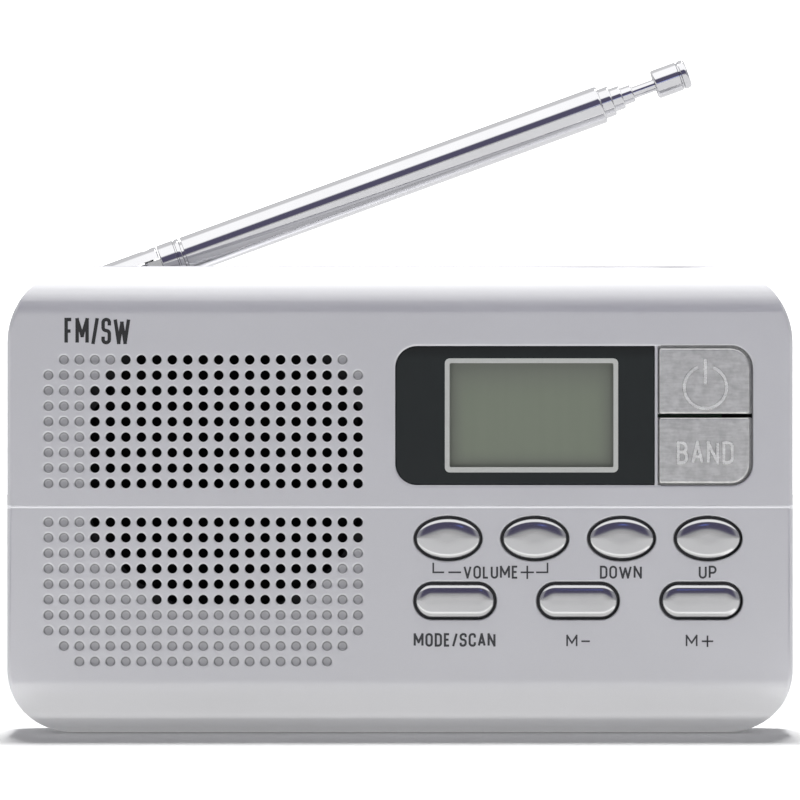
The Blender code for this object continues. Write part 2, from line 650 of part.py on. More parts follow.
def coil_spring(name, centre, start, end, turns=3.5, large=4.2 * MM, small=2.4 * MM, wire=0.35 * MM):
    """A conical spring along X from its wide foot at start to its narrow end."""
    steps, sides = int(turns * 10), 5
    rings = []
    for step in range(steps + 1):
        share = step / steps
        angle = 2 * math.pi * turns * share
        radius = large + (small - large) * share
        across, up = math.cos(angle), math.sin(angle)
        ring = []
        for side in range(sides):
            turn = 2 * math.pi * side / sides
            out = radius + wire * math.cos(turn)
            x = start + (end - start) * share + wire * math.sin(turn)
            ring.append((x, centre[0] + out * across, centre[1] + out * up))
        rings.append(ring)
    bm = bmesh.new()
    skin(bm, rings)
    return mesh_object(name, bm)


def make_batteries(finishes):
    """Two AA cells side by side, head to tail, each between a spring and a contact plate."""
    for (row, z), heading in zip(CELL_ROWS.items(), (-1.0, 1.0)):
        middle = (BAY_LEFT + BAY_RIGHT) / 2

        def along(distance):
            return middle + heading * distance

        centre = (CELL_Y, z)
        foot = (BAY_LEFT - BAY_RIGHT) / 2 + 0.8 * MM
        cell_start = foot + 4.6 * MM
        nub_start = cell_start + CELL_LENGTH - 1.3 * MM
        cell = [
            (6.9 * MM, cell_start),
            (CELL_RADIUS, cell_start + 0.4 * MM),
            (CELL_RADIUS, nub_start - 0.4 * MM),
            (6.9 * MM, nub_start),
            (2.7 * MM, nub_start),
            (2.7 * MM, cell_start + CELL_LENGTH),
        ]
        profile = [(radius, along(place)) for radius, place in cell]
        finish(turned(f"battery_{row}", "X", profile, FINE_SIDES, centre), finishes["cell_wrap"])
        spring_ends = (along(foot), along(cell_start - 0.7 * MM))
        finish(coil_spring(f"battery_spring_{row}", centre, *spring_ends), finishes["steel"])
        plate_starts = cell_start + CELL_LENGTH + GAP
        plate_faces = sorted((along(plate_starts), along(plate_starts + 0.4 * MM)))
        half = 4.0 * MM
        low = (plate_faces[0], CELL_Y - half, z - half)
        plate = block(f"battery_contact_{row}", low, (plate_faces[1], CELL_Y + half, z + half))
        finish(plate, finishes["steel"])


def make_case_screws(finishes):
    head_y = 4.5 * MM + GAP
    profile = [
        (1.2 * MM, -5.5 * MM),
        (1.2 * MM, head_y),
        (2.3 * MM, head_y),
        (2.3 * MM, head_y + 1.2 * MM),
        (1.8 * MM, head_y + 1.7 * MM),
    ]
    places = [(x, z) for z in SCREW_ROWS for x in (-SCREW_X, SCREW_X)]
    for number, (x, z) in enumerate(places, start=1):
        screw = turned(f"case_screw_{number}", "Y", profile, 12, location=(x, 0.0, z))
        cross = 0.3 * MM
        for half in ((1.3 * MM, cross), (cross, 1.3 * MM)):
            low = (x - half[0], head_y + 0.9 * MM, z - half[1])
            combine(screw, block("cross", low, (x + half[0], head_y + 3.0 * MM, z + half[1])))
        finish(screw, finishes["steel"])


def make_swivel(finishes):
    """The screw and spring washer that the aerial's knuckle turns on."""
    tab_back, tab_front = PIVOT[1] + TAB_BACK, PIVOT[1] + TAB_FRONT
    shank, head, play = 1.2 * MM, 2.5 * MM, 0.15 * MM
    profile = [
        (shank, PARTING_Y + 1.6 * MM),
        (shank, tab_back + play),
        (head, tab_back + play),
        (head, tab_back + 1.2 * MM),
        (head - 0.5 * MM, tab_back + 1.6 * MM),
    ]
    place = (PIVOT[0], 0.0, PIVOT[2])
    screw = turned("antenna_pivot_screw", "Y", profile, FINE_SIDES, location=place)
    low = (PIVOT[0] - 4.0 * MM, tab_back + 1.1 * MM, PIVOT[2] - 0.35 * MM)
    combine(screw, block("slot", low, (PIVOT[0] + 4.0 * MM, tab_back + 3.0 * MM, PIVOT[2] + 0.35 * MM)))
    finish(screw, finishes["chrome"])
    washer = tube_profile(2.8 * MM, 1.4 * MM, STEP_Y + play, tab_front - play)
    ring = turned("antenna_spring_washer", "Y", washer, FINE_SIDES, closed=True, location=place)
    finish(ring, finishes["steel"])


def guide(name, location, parent=None, turn=0.0):
    empty = new_object(name, None, parent, location)
    empty.rotation_euler = (0.0, turn, 0.0)
    empty.empty_display_size = 10 * MM
    return empty


def make_knuckle(swivel, finishes):
    """A bar with a flat tab round the swivel screw and a fork for the elbow's tongue."""
    reach = AERIAL_RADIUS
    bar = turned("antenna_knuckle", "Z", [(reach, -reach), (reach, KNUCKLE_END)], FINE_SIDES)
    end = rounded((-reach, -reach), (reach, KNUCKLE_END + WALL), (reach, reach, 0.0, 0.0), CORNER_STEPS)
    combine(bar, prism("round_end", "Y", end, -2 * reach, 2 * reach), "INTERSECT")
    beyond = 2 * reach
    combine(bar, block("tab_front", (-beyond, -beyond, -beyond), (beyond, TAB_FRONT, TAB_END)))
    combine(bar, block("tab_back", (-beyond, TAB_BACK, -beyond), (beyond, beyond, TAB_END)))
    combine(bar, turned("swivel_hole", "Y", [(1.4 * MM, -beyond), (1.4 * MM, beyond)], 12))
    slot_from = ELBOW_AT - FORK_REACH - 0.5 * MM
    slot_high = (SLOT_HALF, beyond, KNUCKLE_END + WALL)
    combine(bar, block("fork_slot", (-SLOT_HALF, -beyond, slot_from), slot_high))
    side = rounded((-beyond, FORK_FROM), (FORK_REACH, KNUCKLE_END), (0.0, 0.0, FORK_REACH, 0.0), 4)
    keep = prism("fork_side", "X", side, -beyond, beyond)
    combine(keep, block("bar_room", (-beyond, -beyond, -beyond), (beyond, beyond, FORK_FROM)), "UNION")
    combine(bar, keep, "INTERSECT")
    pin_hole = [(0.9 * MM, -beyond), (0.9 * MM, beyond)]
    combine(bar, turned("pin_hole", "X", pin_hole, 12, (0.0, ELBOW_AT)))
    bar.parent = swivel
    finish(bar, finishes["chrome"])
    pin = turned("antenna_elbow_pin", "X", [(0.8 * MM, -2.9 * MM), (0.8 * MM, 2.9 * MM)], 12, parent=swivel)
    pin.location = (0.0, 0.0, ELBOW_AT)
    finish(pin, finishes["steel"])


def make_elbow(elbow, finishes):
    """The tongue that turns on the elbow pin, with the ferrule and the spigot that hold the first tube."""
    ferrule_start, ferrule_end = FERRULE_START - ELBOW_AT, FERRULE_END - ELBOW_AT
    profile = [
        (AERIAL_RADIUS, ferrule_start),
        (AERIAL_RADIUS, ferrule_end),
        (2.5 * MM, ferrule_end),
        (2.5 * MM, ferrule_end + 4.2 * MM),
    ]
    piece = turned("antenna_elbow", "Z", profile, FINE_SIDES)
    reach = FORK_REACH
    tongue = rounded((-reach, -reach), (reach, ferrule_start + 1.0 * MM), (reach, reach, 0.0, 0.0), 4)
    combine(piece, prism("tongue", "X", tongue, -TONGUE_HALF, TONGUE_HALF), "UNION")
    combine(piece, turned("pin_hole", "X", [(0.9 * MM, -WALL), (0.9 * MM, WALL)], 12))
    piece.parent = elbow
    finish(piece, finishes["chrome"])


def make_aerial(finishes):
    """The swivel frame's Z runs along the aerial and its Y points to the back of the case."""
    swivel = guide("antenna_swivel_axis", PIVOT, turn=math.radians(90.0 - AERIAL_TILT))
    make_knuckle(swivel, finishes)
    elbow = guide("antenna_elbow_axis", (0.0, 0.0, ELBOW_AT), swivel)
    make_elbow(elbow, finishes)
    for name, (outer, bore, start, end) in AERIAL_TUBES.items():
        profile = tube_profile(outer, bore, start - ELBOW_AT, end - ELBOW_AT)
        finish(turned(name, "Z", profile, ROUND_SIDES, closed=True, parent=elbow), finishes["chrome"])
    rod = [(ROD_RADIUS, ROD_START - ELBOW_AT), (ROD_RADIUS, ROD_END - ELBOW_AT)]
    finish(turned("antenna_rod", "Z", rod, 12, parent=elbow), finishes["chrome"])
    socket = ROD_RADIUS + 0.15 * MM
    soft = 0.3 * MM
    cap = [
        (socket, ROD_END + 0.2 * MM - ELBOW_AT),
        (socket, CAP_START - ELBOW_AT),
        (CAP_RADIUS - soft, CAP_START - ELBOW_AT),
        (CAP_RADIUS, CAP_START + soft - ELBOW_AT),
        (CAP_RADIUS, CAP_END - soft - ELBOW_AT),
        (CAP_RADIUS - soft, CAP_END - ELBOW_AT),
    ]
    finish(turned("antenna_cap", "Z", cap, FINE_SIDES, parent=elbow), finishes["chrome"])


def main():
    clear_scene()
    finishes = make_finishes()
    finish(make_front_shell(), finishes["silver_paint"])
    finish(make_back_shell(), finishes["silver_paint"])
    finish(make_battery_door(), finishes["silver_paint"])
    make_keys(finishes)
    make_display(finishes)
    make_board(finishes)
    make_sockets(finishes)
    make_speaker(finishes)
    make_ferrite_aerial(finishes)
    make_batteries(finishes)
    make_case_screws(finishes)
    make_swivel(finishes)
    make_aerial(finishes)


main()
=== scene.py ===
"""Looks of a pocket shortwave receiver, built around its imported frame.

Metres. The front of the case faces -Y, +X is to the right seen from the front, and +Z is up.
"""

from __future__ import annotations

import json
import logging
import math
from dataclasses import dataclass
from enum import Enum
from typing import Any, Callable, Iterable, Sequence

import bmesh
import bpy
from mathutils import Matrix, Vector

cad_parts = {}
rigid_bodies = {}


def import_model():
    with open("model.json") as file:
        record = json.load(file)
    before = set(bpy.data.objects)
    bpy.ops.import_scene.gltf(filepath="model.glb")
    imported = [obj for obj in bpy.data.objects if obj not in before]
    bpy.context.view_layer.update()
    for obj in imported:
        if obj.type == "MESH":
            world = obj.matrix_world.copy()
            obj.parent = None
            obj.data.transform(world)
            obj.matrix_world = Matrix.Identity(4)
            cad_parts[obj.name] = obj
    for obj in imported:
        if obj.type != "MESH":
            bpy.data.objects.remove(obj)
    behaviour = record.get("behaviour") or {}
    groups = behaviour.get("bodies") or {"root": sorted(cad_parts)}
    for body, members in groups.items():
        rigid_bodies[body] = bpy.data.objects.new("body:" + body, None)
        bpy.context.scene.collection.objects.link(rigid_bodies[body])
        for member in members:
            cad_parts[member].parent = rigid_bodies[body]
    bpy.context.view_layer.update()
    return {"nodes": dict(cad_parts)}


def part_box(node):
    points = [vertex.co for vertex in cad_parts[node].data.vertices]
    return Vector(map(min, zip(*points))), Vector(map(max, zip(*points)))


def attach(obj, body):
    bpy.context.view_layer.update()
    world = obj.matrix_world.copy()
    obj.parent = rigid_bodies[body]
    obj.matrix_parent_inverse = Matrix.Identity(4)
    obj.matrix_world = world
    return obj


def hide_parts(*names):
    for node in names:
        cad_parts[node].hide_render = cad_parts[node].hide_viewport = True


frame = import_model()

MM = 0.001
LOG = logging.getLogger("receiver")

Solid = bpy.types.Object
Material = bpy.types.Material
Colour = tuple[float, float, float]
Point2 = tuple[float, float]
Point3 = tuple[float, float, float]
Outline = list[Point2]


# --- shader nodes


class Value:
    """A shader socket that takes part in Python arithmetic."""

    def __init__(self, graph: Graph, socket: bpy.types.NodeSocket) -> None:
        """Wraps one output socket of a graph's node."""
        self.graph = graph
        self.socket = socket

    def _math(self, operation: str, *values: Any) -> Value:
        """Adds a Math node.

        Args:
            operation: The Math node's operation.
            values: Its inputs in order, numbers or Values.

        Returns:
            The node's result.
        """
        return self.graph.node("ShaderNodeMath", {"operation": operation}, dict(enumerate(values)))

    def __add__(self, other: Any) -> Value:
        """self + other."""
        return self._math("ADD", self, other)

    def __radd__(self, other: Any) -> Value:
        """other + self."""
        return self._math("ADD", other, self)

    def __sub__(self, other: Any) -> Value:
        """self - other."""
        return self._math("SUBTRACT", self, other)

    def __rsub__(self, other: Any) -> Value:
        """other - self."""
        return self._math("SUBTRACT", other, self)

    def __mul__(self, other: Any) -> Value:
        """self * other."""
        return self._math("MULTIPLY", self, other)

    def __rmul__(self, other: Any) -> Value:
        """other * self."""
        return self._math("MULTIPLY", other, self)

    def ramp(self, low: float, high: float) -> Value:
        """0 at or under low and 1 at or over high, smooth between."""
        inputs = {"Value": self, "From Min": low, "From Max": high}
        return self.graph.node("ShaderNodeMapRange", {"interpolation_type": "SMOOTHSTEP"}, inputs)

    def between(self, low: float, high: float, soft: float) -> Value:
        """1 between low and high, else 0, with edges as wide as soft inside them."""
        return (self - low).ramp(0.0, soft) * (high - self).ramp(0.0, soft)


class Graph:
    """The node tree of one material, or of the world."""

    def __init__(self, name: str) -> None:
        """Makes a material whose only shader is a Principled BSDF.

        Args:
            name: The material's name.
        """
        self.material = bpy.data.materials.new(name)
        self.material.use_nodes = True
        self.tree = self.material.node_tree
        self.shader = self.tree.nodes["Principled BSDF"]

    @classmethod
    def of(cls, tree: bpy.types.NodeTree) -> Graph:
        """Wraps a node tree that isn't a material's.

        Args:
            tree: The tree.

        Returns:
            The graph, which has no material and no shader.
        """
        graph = cls.__new__(cls)
        graph.tree = tree
        return graph

    def node(
        self,
        kind: str,
        settings: dict[str, Any] | None = None,
        inputs: dict[int | str, Any] | None = None,
        output: int | str = 0,
    ) -> Value:
        """Adds a node.

        Args:
            kind: The node's type.
            settings: Its properties, set first.
            inputs: Values or links of its sockets, by name or place.
            output: The output to hand back.

        Returns:
            That output.
        """
        node = self.tree.nodes.new(kind)
        for name, value in (settings or {}).items():
            setattr(node, name, value)
        for key, value in (inputs or {}).items():
            self.feed(node.inputs[key], value)
        return Value(self, node.outputs[output])

    def feed(self, socket: bpy.types.NodeSocket, value: Any) -> None:
        """Links a Value to a socket, or sets a plain value on it.

        Args:
            socket: An input socket.
            value: What it gets.
        """
        if isinstance(value, Value):
            self.tree.links.new(value.socket, socket)
        else:
            socket.default_value = value

    def place(self) -> Value:
        """The surface point in the piece's own coordinates."""
        return self.node("ShaderNodeTexCoord", output="Object")

    def axis(self, name: str) -> Value:
        """One coordinate of the surface point, X, Y or Z."""
        return self.node("ShaderNodeSeparateXYZ", inputs={"Vector": self.place()}, output=name)

    def noise(self, scale: float, detail: float = 2.0, stretch: Sequence[float] = (1, 1, 1)) -> Value:
        """Noise between 0 and 1.

        Args:
            scale: Features per metre.
            detail: Octaves.
            stretch: How much the pattern is squeezed along X, Y and Z.

        Returns:
            The noise value.
        """
        place = self.node("ShaderNodeMapping", inputs={"Vector": self.place(), "Scale": tuple(stretch)})
        return self.node("ShaderNodeTexNoise", inputs={"Vector": place, "Scale": scale, "Detail": detail})

    def cells(self, scale: float) -> Value:
        """Distance to the nearest of scattered points, for speckle."""
        return self.node("ShaderNodeTexVoronoi", inputs={"Vector": self.place(), "Scale": scale})

    def mix(self, share: Any, first: Any, second: Any) -> Value:
        """Colour between first and second by share."""
        settings = {"data_type": "RGBA"}
        return self.node("ShaderNodeMix", settings, {0: share, 6: first, 7: second}, output=2)

    def bump(self, height: Value, distance: float, strength: float = 1.0) -> Value:
        """A normal bent by height, whose full step is distance."""
        inputs = {"Height": height, "Distance": distance, "Strength": strength}
        return self.node("ShaderNodeBump", inputs=inputs)

    def finish(self, **sockets: Any) -> Material:
        """Feeds the shader's sockets.

        Args:
            **sockets: A value or Value for each socket, with underscores for spaces in its name.

        Returns:
            The material.
        """
        for name, value in sockets.items():
            self.feed(self.shader.inputs[name.replace("_", " ")], value)
        return self.material


def srgb(colour: Sequence[float], share: float = 1.0) -> tuple[float, float, float, float]:
    """A screen colour of 0 to 255 a channel, each times share, as a linear RGBA colour."""
    parts = (share * channel / 255 for channel in colour)
    return (*(s / 12.92 if s <= 0.04045 else ((s + 0.055) / 1.055) ** 2.4 for s in parts), 1.0)


# --- finishes


@dataclass(frozen=True)
class SilverPaint:
    """Satin metallic paint: flake sparkle, slight cloudiness, painted shade inside the front's openings, a
    painted shade line along the top edge and a painted highlight in the dividing groove.

    A pair of depths is where a change of colour starts and where it is complete, under the face.
    """

    name: str = "silver_paint"
    colour: Colour = (204, 204, 207)
    roughness: float = 0.42
    metallic: float = 0.72
    face_y: float = -13.5 * MM
    flake_colour: Colour = (232, 232, 236)
    # colour of the painted shade inside the front's openings
    hole_shade_colour: Colour = (30, 30, 32)
    # colour of the painted shade line along the top edge
    top_edge_shade_colour: Colour = (172, 172, 176)
    # colour of the painted highlight in the dividing groove
    groove_highlight_colour: Colour = (238, 238, 240)
    # heights between which that painted shade line lies
    top_edge_shade_rows: Point2 = (77.15 * MM, 77.58 * MM)
    groove_rows: Point2 = (37.28 * MM, 37.95 * MM)
    groove_depths: tuple[Point2, Point2] = ((0.01 * MM, 0.03 * MM), (1.0 * MM, 1.1 * MM))
    field: tuple[Point2, Point2] = ((-62.0 * MM, 8.6 * MM), (62.0 * MM, 69.0 * MM))
    field_end: Point2 = (2.6 * MM, 3.0 * MM)
    mouth: Point2 = (0.08 * MM, 0.2 * MM)
    bottom: Point2 = (0.44 * MM, 0.56 * MM)
    inside: Point2 = (0.7 * MM, 1.1 * MM)
    mouth_shade: float = 0.62
    inside_shade: float = 0.94

    def within(self, graph: Graph, low: Point2, high: Point2) -> Value:
        """1 inside a rectangle of the front, else 0."""
        across = graph.axis("X").between(low[0], high[0], 0.1 * MM)
        return across * graph.axis("Z").between(low[1], high[1], 0.1 * MM)

    def groove(self, graph: Graph) -> Value:
        """1 in the dividing groove, else 0."""
        return graph.axis("Z").between(*self.groove_rows, 0.08 * MM)

    def recess(self, graph: Graph) -> Value:
        """How much painted shade a point in an opening of the front gets by its depth: 0 on the face,
        towards 1 inside.

        Args:
            graph: The paint's graph.

        Returns:
            The share of the painted shade colour of the holes.
        """
        depth, room = graph.axis("Y") - self.face_y, 0.6 * MM
        ring = depth.ramp(*self.mouth) * (1 - 0.45 * depth.ramp(*self.bottom)) * self.mouth_shade
        low, high = (POCKET_LOW[0] - room, POCKET_LOW[1] - room), (RIB[1] + room, POCKET_HIGH[1] + room)
        ring = ring * (1 - self.within(graph, low, high)) * (1 - self.groove(graph))
        deep = depth.ramp(*self.inside) * self.inside_shade
        return (ring + deep) * self.within(graph, *self.field) * (1 - depth.ramp(*self.field_end))

    def build(self) -> Material:
        """Mixes the paint.

        Returns:
            The material.
        """
        graph = Graph(self.name)
        flake = graph.cells(9000.0)
        cloud = graph.noise(45.0, 3.0)
        colour = graph.mix(cloud, srgb(self.colour, 0.972), srgb(self.colour))
        colour = graph.mix((1 - flake).ramp(0.62, 1.0) * 0.22, colour, srgb(self.flake_colour))
        # painted shade: the walls and the depths of the front's openings are darkened
        colour = graph.mix(self.recess(graph), colour, srgb(self.hole_shade_colour))
        # painted shade: a darker line along the top edge sets it off against the background
        low, high = self.top_edge_shade_rows
        top_edge_shade = (graph.axis("Z") - low).ramp(0.0, 0.2 * MM) * (high - graph.axis("Z")).ramp(0.0, 0.03 * MM)
        colour = graph.mix(top_edge_shade, colour, srgb(self.top_edge_shade_colour))
        # painted highlight: the groove's lower slope is lightened as if it caught the overhead light
        depth = graph.axis("Y") - self.face_y
        start, end = self.groove_depths
        groove_highlight = self.groove(graph) * depth.ramp(*start) * (1 - depth.ramp(*end))
        colour = graph.mix(groove_highlight * 0.8, colour, srgb(self.groove_highlight_colour))
        rough = self.roughness + (cloud - 0.5) * 0.05 + (flake - 0.5) * 0.06
        return graph.finish(
            Base_Color=colour,
            Roughness=rough,
            Metallic=self.metallic,
            Normal=graph.bump(graph.noise(5200.0, 2.0), 0.004 * MM, 0.35),
        )


@dataclass(frozen=True)
class Chrome:
    """Bright plating with faint drawing lines along an axis and a trace of haze."""

    name: str = "chrome"
    colour: Colour = (202, 202, 204)
    roughness: float = 0.06
    stretch: Point3 = (1.0, 1.0, 1.0)
    # depth along Y past which painted shade darkens the plating, and its colour
    gap_shade_from: float = 1.0
    gap_shade_colour: Colour = (48, 48, 50)

    def build(self) -> Material:
        """Mixes the plating, painted dark past a set depth along Y as shade in the gap round a key.

        Returns:
            The material.
        """
        graph = Graph(self.name)
        haze = graph.noise(160.0, 3.0)
        lines = graph.noise(1800.0, 2.0, self.stretch)
        colour = graph.mix(haze, srgb(self.colour), srgb(self.colour, 0.955))
        # painted shade in the gap round a key, where it sits in its hole
        gap_shade = (graph.axis("Y") - self.gap_shade_from).ramp(0.0, 0.25 * MM)
        colour = graph.mix(gap_shade, colour, srgb(self.gap_shade_colour))
        rough = self.roughness + haze * 0.04 + lines * 0.02
        normal = graph.bump(lines, 0.0012 * MM, 0.25)
        return graph.finish(Base_Color=colour, Roughness=rough, Metallic=1.0, Normal=normal)


@dataclass(frozen=True)
class CastMetal:
    """Zinc casting with a blasted, lightly mottled face and fine cross brushing."""

    name: str = "cast_metal"
    colour: Colour = (190, 190, 189)
    roughness: float = 0.36

    def build(self) -> Material:
        """Mixes the finish.

        Returns:
            The material.
        """
        graph = Graph(self.name)
        mottle = graph.noise(900.0, 5.0)
        brushing = graph.noise(1300.0, 3.0, (0.3, 1.0, 1.8))
        light = (mottle * 0.6 + brushing * 0.4).ramp(0.3, 0.72)
        colour = graph.mix(light, srgb(self.colour, 0.91), srgb(self.colour, 1.06))
        rough = self.roughness + (mottle - 0.5) * 0.16
        normal = graph.bump(mottle * 0.5 + brushing * 0.5, 0.02 * MM, 0.35)
        return graph.finish(Base_Color=colour, Roughness=rough, Metallic=0.9, Normal=normal)


@dataclass(frozen=True)
class BlackPanel:
    """Clear window printed black on its back: deep gloss with a soft cool bloom."""

    name: str = "black_panel"
    low: Colour = (31, 35, 37)
    high: Colour = (36, 41, 42)
    # colour and reach of the painted shade under the pocket's upper wall
    wall_shade_colour: Colour = (18, 20, 22)
    wall_shade_from: float = 61.6 * MM
    wall_shade_height: float = 2.4 * MM

    def build(self) -> Material:
        """Mixes the finish, with painted shade darkening it towards the pocket's upper wall.

        Returns:
            The material.
        """
        graph = Graph(self.name)
        colour = graph.mix(graph.noise(60.0, 2.0), srgb(self.low), srgb(self.high))
        dust = graph.noise(2600.0, 1.0).ramp(0.72, 0.9)
        # painted shade under the pocket's upper wall
        wall_shade = (graph.axis("Z") - self.wall_shade_from).ramp(0.0, self.wall_shade_height)
        colour = graph.mix(wall_shade * 0.75, colour, srgb(self.wall_shade_colour))
        return graph.finish(
            Base_Color=colour,
            Roughness=0.16 + dust * 0.12,
            Coat_Weight=0.25,
            Coat_Roughness=0.05,
            Specular_IOR_Level=0.1,
        )


@dataclass(frozen=True)
class LcdGlass:
    """Unlit liquid crystal: grey-green, with painted shadow darkening it towards its frame, and faint column
    traces.
    """

    low: Point2
    high: Point2
    name: str = "lcd_glass_face"
    # edge is the colour of the painted shadow along the frame, and near how far in it reaches
    edge: Colour = (120, 125, 114)
    field: Colour = (126, 134, 118)
    trace: Colour = (110, 117, 104)
    near: float = 3.2 * MM

    def build(self) -> Material:
        """Mixes the finish.

        Returns:
            The material.
        """
        graph = Graph(self.name)
        z = graph.axis("Z")
        across = graph.axis("X").between(self.low[0], self.high[0], self.near)
        up = (z - self.low[1]).ramp(0.0, self.near) * (self.high[1] - z).ramp(0.0, 2.0 * self.near)
        # painted shadow cast by the frame along the glass's edges
        colour = graph.mix(across * up, srgb(self.edge), srgb(self.field))
        traces = graph.noise(700.0, 2.0, (1.0, 0.0, 0.04))
        colour = graph.mix(traces.ramp(0.35, 0.8) * 0.10, colour, srgb(self.trace))
        return graph.finish(Base_Color=colour, Roughness=0.3 + traces * 0.06)


@dataclass(frozen=True)
class Ink:
    """Printed ink: matt, with the slight unevenness of a screen print."""

    name: str
    colour: Colour
    roughness: float = 0.45
    metallic: float = 0.0

    def build(self) -> Material:
        """Mixes the finish.

        Returns:
            The material.
        """
        graph = Graph(self.name)
        grain = graph.noise(3200.0, 2.0)
        thin = srgb([min(255, 1.2 * channel + 6) for channel in self.colour])
        colour = graph.mix(grain * 0.25, srgb(self.colour), thin)
        rough = self.roughness + grain * 0.1
        return graph.finish(Base_Color=colour, Roughness=rough, Metallic=self.metallic)


@dataclass(frozen=True)
class Moulding:
    """Moulded plastic with spark-eroded grain and faint flow shading."""

    name: str
    colour: Colour
    roughness: float = 0.5
    grain: float = 0.02

    def build(self) -> Material:
        """Mixes the finish.

        Returns:
            The material.
        """
        graph = Graph(self.name)
        flow = graph.noise(90.0, 2.0)
        colour = graph.mix(flow, srgb(self.colour, 0.9), srgb(self.colour))
        rough = self.roughness + (flow - 0.5) * 0.1
        normal = graph.bump(graph.noise(2400.0, 3.0), self.grain * MM, 0.5)
        return graph.finish(Base_Color=colour, Roughness=rough, Normal=normal)


@dataclass(frozen=True)
class PlainMetal:
    """Bare or plated metal with fine scratches and patchy oxide."""

    name: str
    colour: Colour
    roughness: float = 0.3

    def build(self) -> Material:
        """Mixes the finish.

        Returns:
            The material.
        """
        graph = Graph(self.name)
        patches = graph.noise(300.0, 4.0)
        scratches = graph.noise(2600.0, 2.0, (1.0, 0.15, 0.4))
        colour = graph.mix(patches.ramp(0.35, 0.8), srgb(self.colour), srgb(self.colour, 0.82))
        rough = self.roughness + patches * 0.12
        normal = graph.bump(scratches, 0.006 * MM, 0.4)
        return graph.finish(Base_Color=colour, Roughness=rough, Metallic=1.0, Normal=normal)


@dataclass(frozen=True)
class CellWrap:
    """Printed film on a battery: a bright band at one end of a dark sleeve."""

    edge: float
    bright_side: float
    name: str = "cell_wrap"
    low: Colour = (30, 36, 52)
    high: Colour = (40, 47, 66)
    bright: Colour = (196, 170, 112)

    def build(self) -> Material:
        """Mixes the finish.

        Returns:
            The material.
        """
        graph = Graph(self.name)
        band = ((graph.axis("X") - self.edge) * self.bright_side).ramp(-0.1 * MM, 0.1 * MM)
        fibre = graph.noise(500.0, 3.0)
        sleeve = graph.mix(fibre, srgb(self.low), srgb(self.high))
        colour = graph.mix(band, sleeve, srgb(self.bright))
        return graph.finish(Base_Color=colour, Roughness=0.28 + fibre * 0.08, Metallic=band * 0.6)


# --- shaping


class Join(Enum):
    """What a Boolean does with its second solid."""

    CUT = "DIFFERENCE"
    ADD = "UNION"
    SHARE = "INTERSECT"


WELD, SLIVER = 2e-7, 1e-8
AXES: dict[str, Callable[[float, float, float], Point3]] = {
    "X": lambda a, b, along: (along, a, b),
    "Y": lambda a, b, along: (a, along, b),
    "Z": lambda a, b, along: (a, b, along),
}


def arc(centre: Point2, radius: float, start: float, end: float, steps: int) -> Outline:
    """Points on an arc; start and end are in degrees."""
    turns = (math.radians(start + (end - start) * step / steps) for step in range(steps + 1))
    return [(centre[0] + radius * math.cos(t), centre[1] + radius * math.sin(t)) for t in turns]


def rounded(low: Point2, high: Point2, radii: float | Sequence[float], steps: int = 8) -> Outline:
    """Points round a rectangle.

    Args:
        low: Its lowest corner.
        high: Its highest corner.
        radii: One radius, or those of the low-low, high-low, high-high and low-high corners.
        steps: Facets per corner.

    Returns:
        The outline, counter-clockwise.
    """
    four = [radii] * 4 if isinstance(radii, float) else list(radii)
    ends = ((low[0], low[1], 1, 1), (high[0], low[1], -1, 1), (*high, -1, -1), (low[0], high[1], 1, -1))
    outline: Outline = []
    for corner, ((a, b, in_a, in_b), radius) in enumerate(zip(ends, four)):
        start, centre = 180 + 90 * corner, (a + in_a * radius, b + in_b * radius)
        outline += arc(centre, radius, start, start + 90, steps)
    return outline


def oval(half: Point2, centre: Point2 = (0.0, 0.0), sides: int = 64) -> Outline:
    """Points round an ellipse, from its left end."""
    turns = (math.pi + 2 * math.pi * (side + 0.5) / sides for side in range(sides))
    return [(centre[0] + half[0] * math.cos(t), centre[1] + half[1] * math.sin(t)) for t in turns]


def new_object(name: str, data: bpy.types.ID) -> Solid:
    """Puts a mesh, a lamp or a camera into the scene as an object at the origin.

    Args:
        name: The object's name.
        data: What it shows.

    Returns:
        The object.
    """
    obj = bpy.data.objects.new(name, data)
    bpy.context.scene.collection.objects.link(obj)
    return obj


def skin(bm: bmesh.types.BMesh, rings: Iterable[Sequence[Sequence[float]]], closed: bool = False) -> None:
    """Adds the faces between neighbouring rings, with a cap at each end unless closed.

    Args:
        bm: The mesh that they are added to.
        rings: Rings with the same number of points.
        closed: Whether the last ring joins the first.
    """
    loops = [[bm.verts.new(point) for point in ring] for ring in rings]
    pairs = list(zip(loops, loops[1:])) + ([(loops[-1], loops[0])] if closed else [])
    for lower, upper in pairs:
        for i in range(len(lower)):
            j = (i + 1) % len(lower)
            bm.faces.new((lower[i], lower[j], upper[j], upper[i]))
    if not closed:
        bm.faces.new(loops[0])
        bm.faces.new(loops[-1])


def closed_mesh(name: str, bm: bmesh.types.BMesh) -> Solid:
    """Welds doubles, turns the faces outwards and makes the object.

    Args:
        name: The object's name.
        bm: The mesh, which is used up.

    Returns:
        The object.
    """
    bmesh.ops.remove_doubles(bm, verts=bm.verts, dist=WELD)
    bmesh.ops.dissolve_degenerate(bm, dist=SLIVER, edges=bm.edges)
    bmesh.ops.recalc_face_normals(bm, faces=bm.faces)
    mesh = bpy.data.meshes.new(name)
    bm.to_mesh(mesh)
    bm.free()
    return new_object(name, mesh)


def loft(name: str, axis: str, rings: Sequence[tuple[Outline, float]], closed: bool = False) -> Solid:
    """A solid through rings.

    Args:
        name: The object's name.
        axis: The axis that the rings are stacked along.
        rings: (outline, place along the axis) pairs.
        closed: Whether the last ring joins the first.

    Returns:
        The solid.
    """
    bm = bmesh.new()
    skin(bm, [[AXES[axis](a, b, along) for a, b in outline] for outline, along in rings], closed)
    return closed_mesh(name, bm)


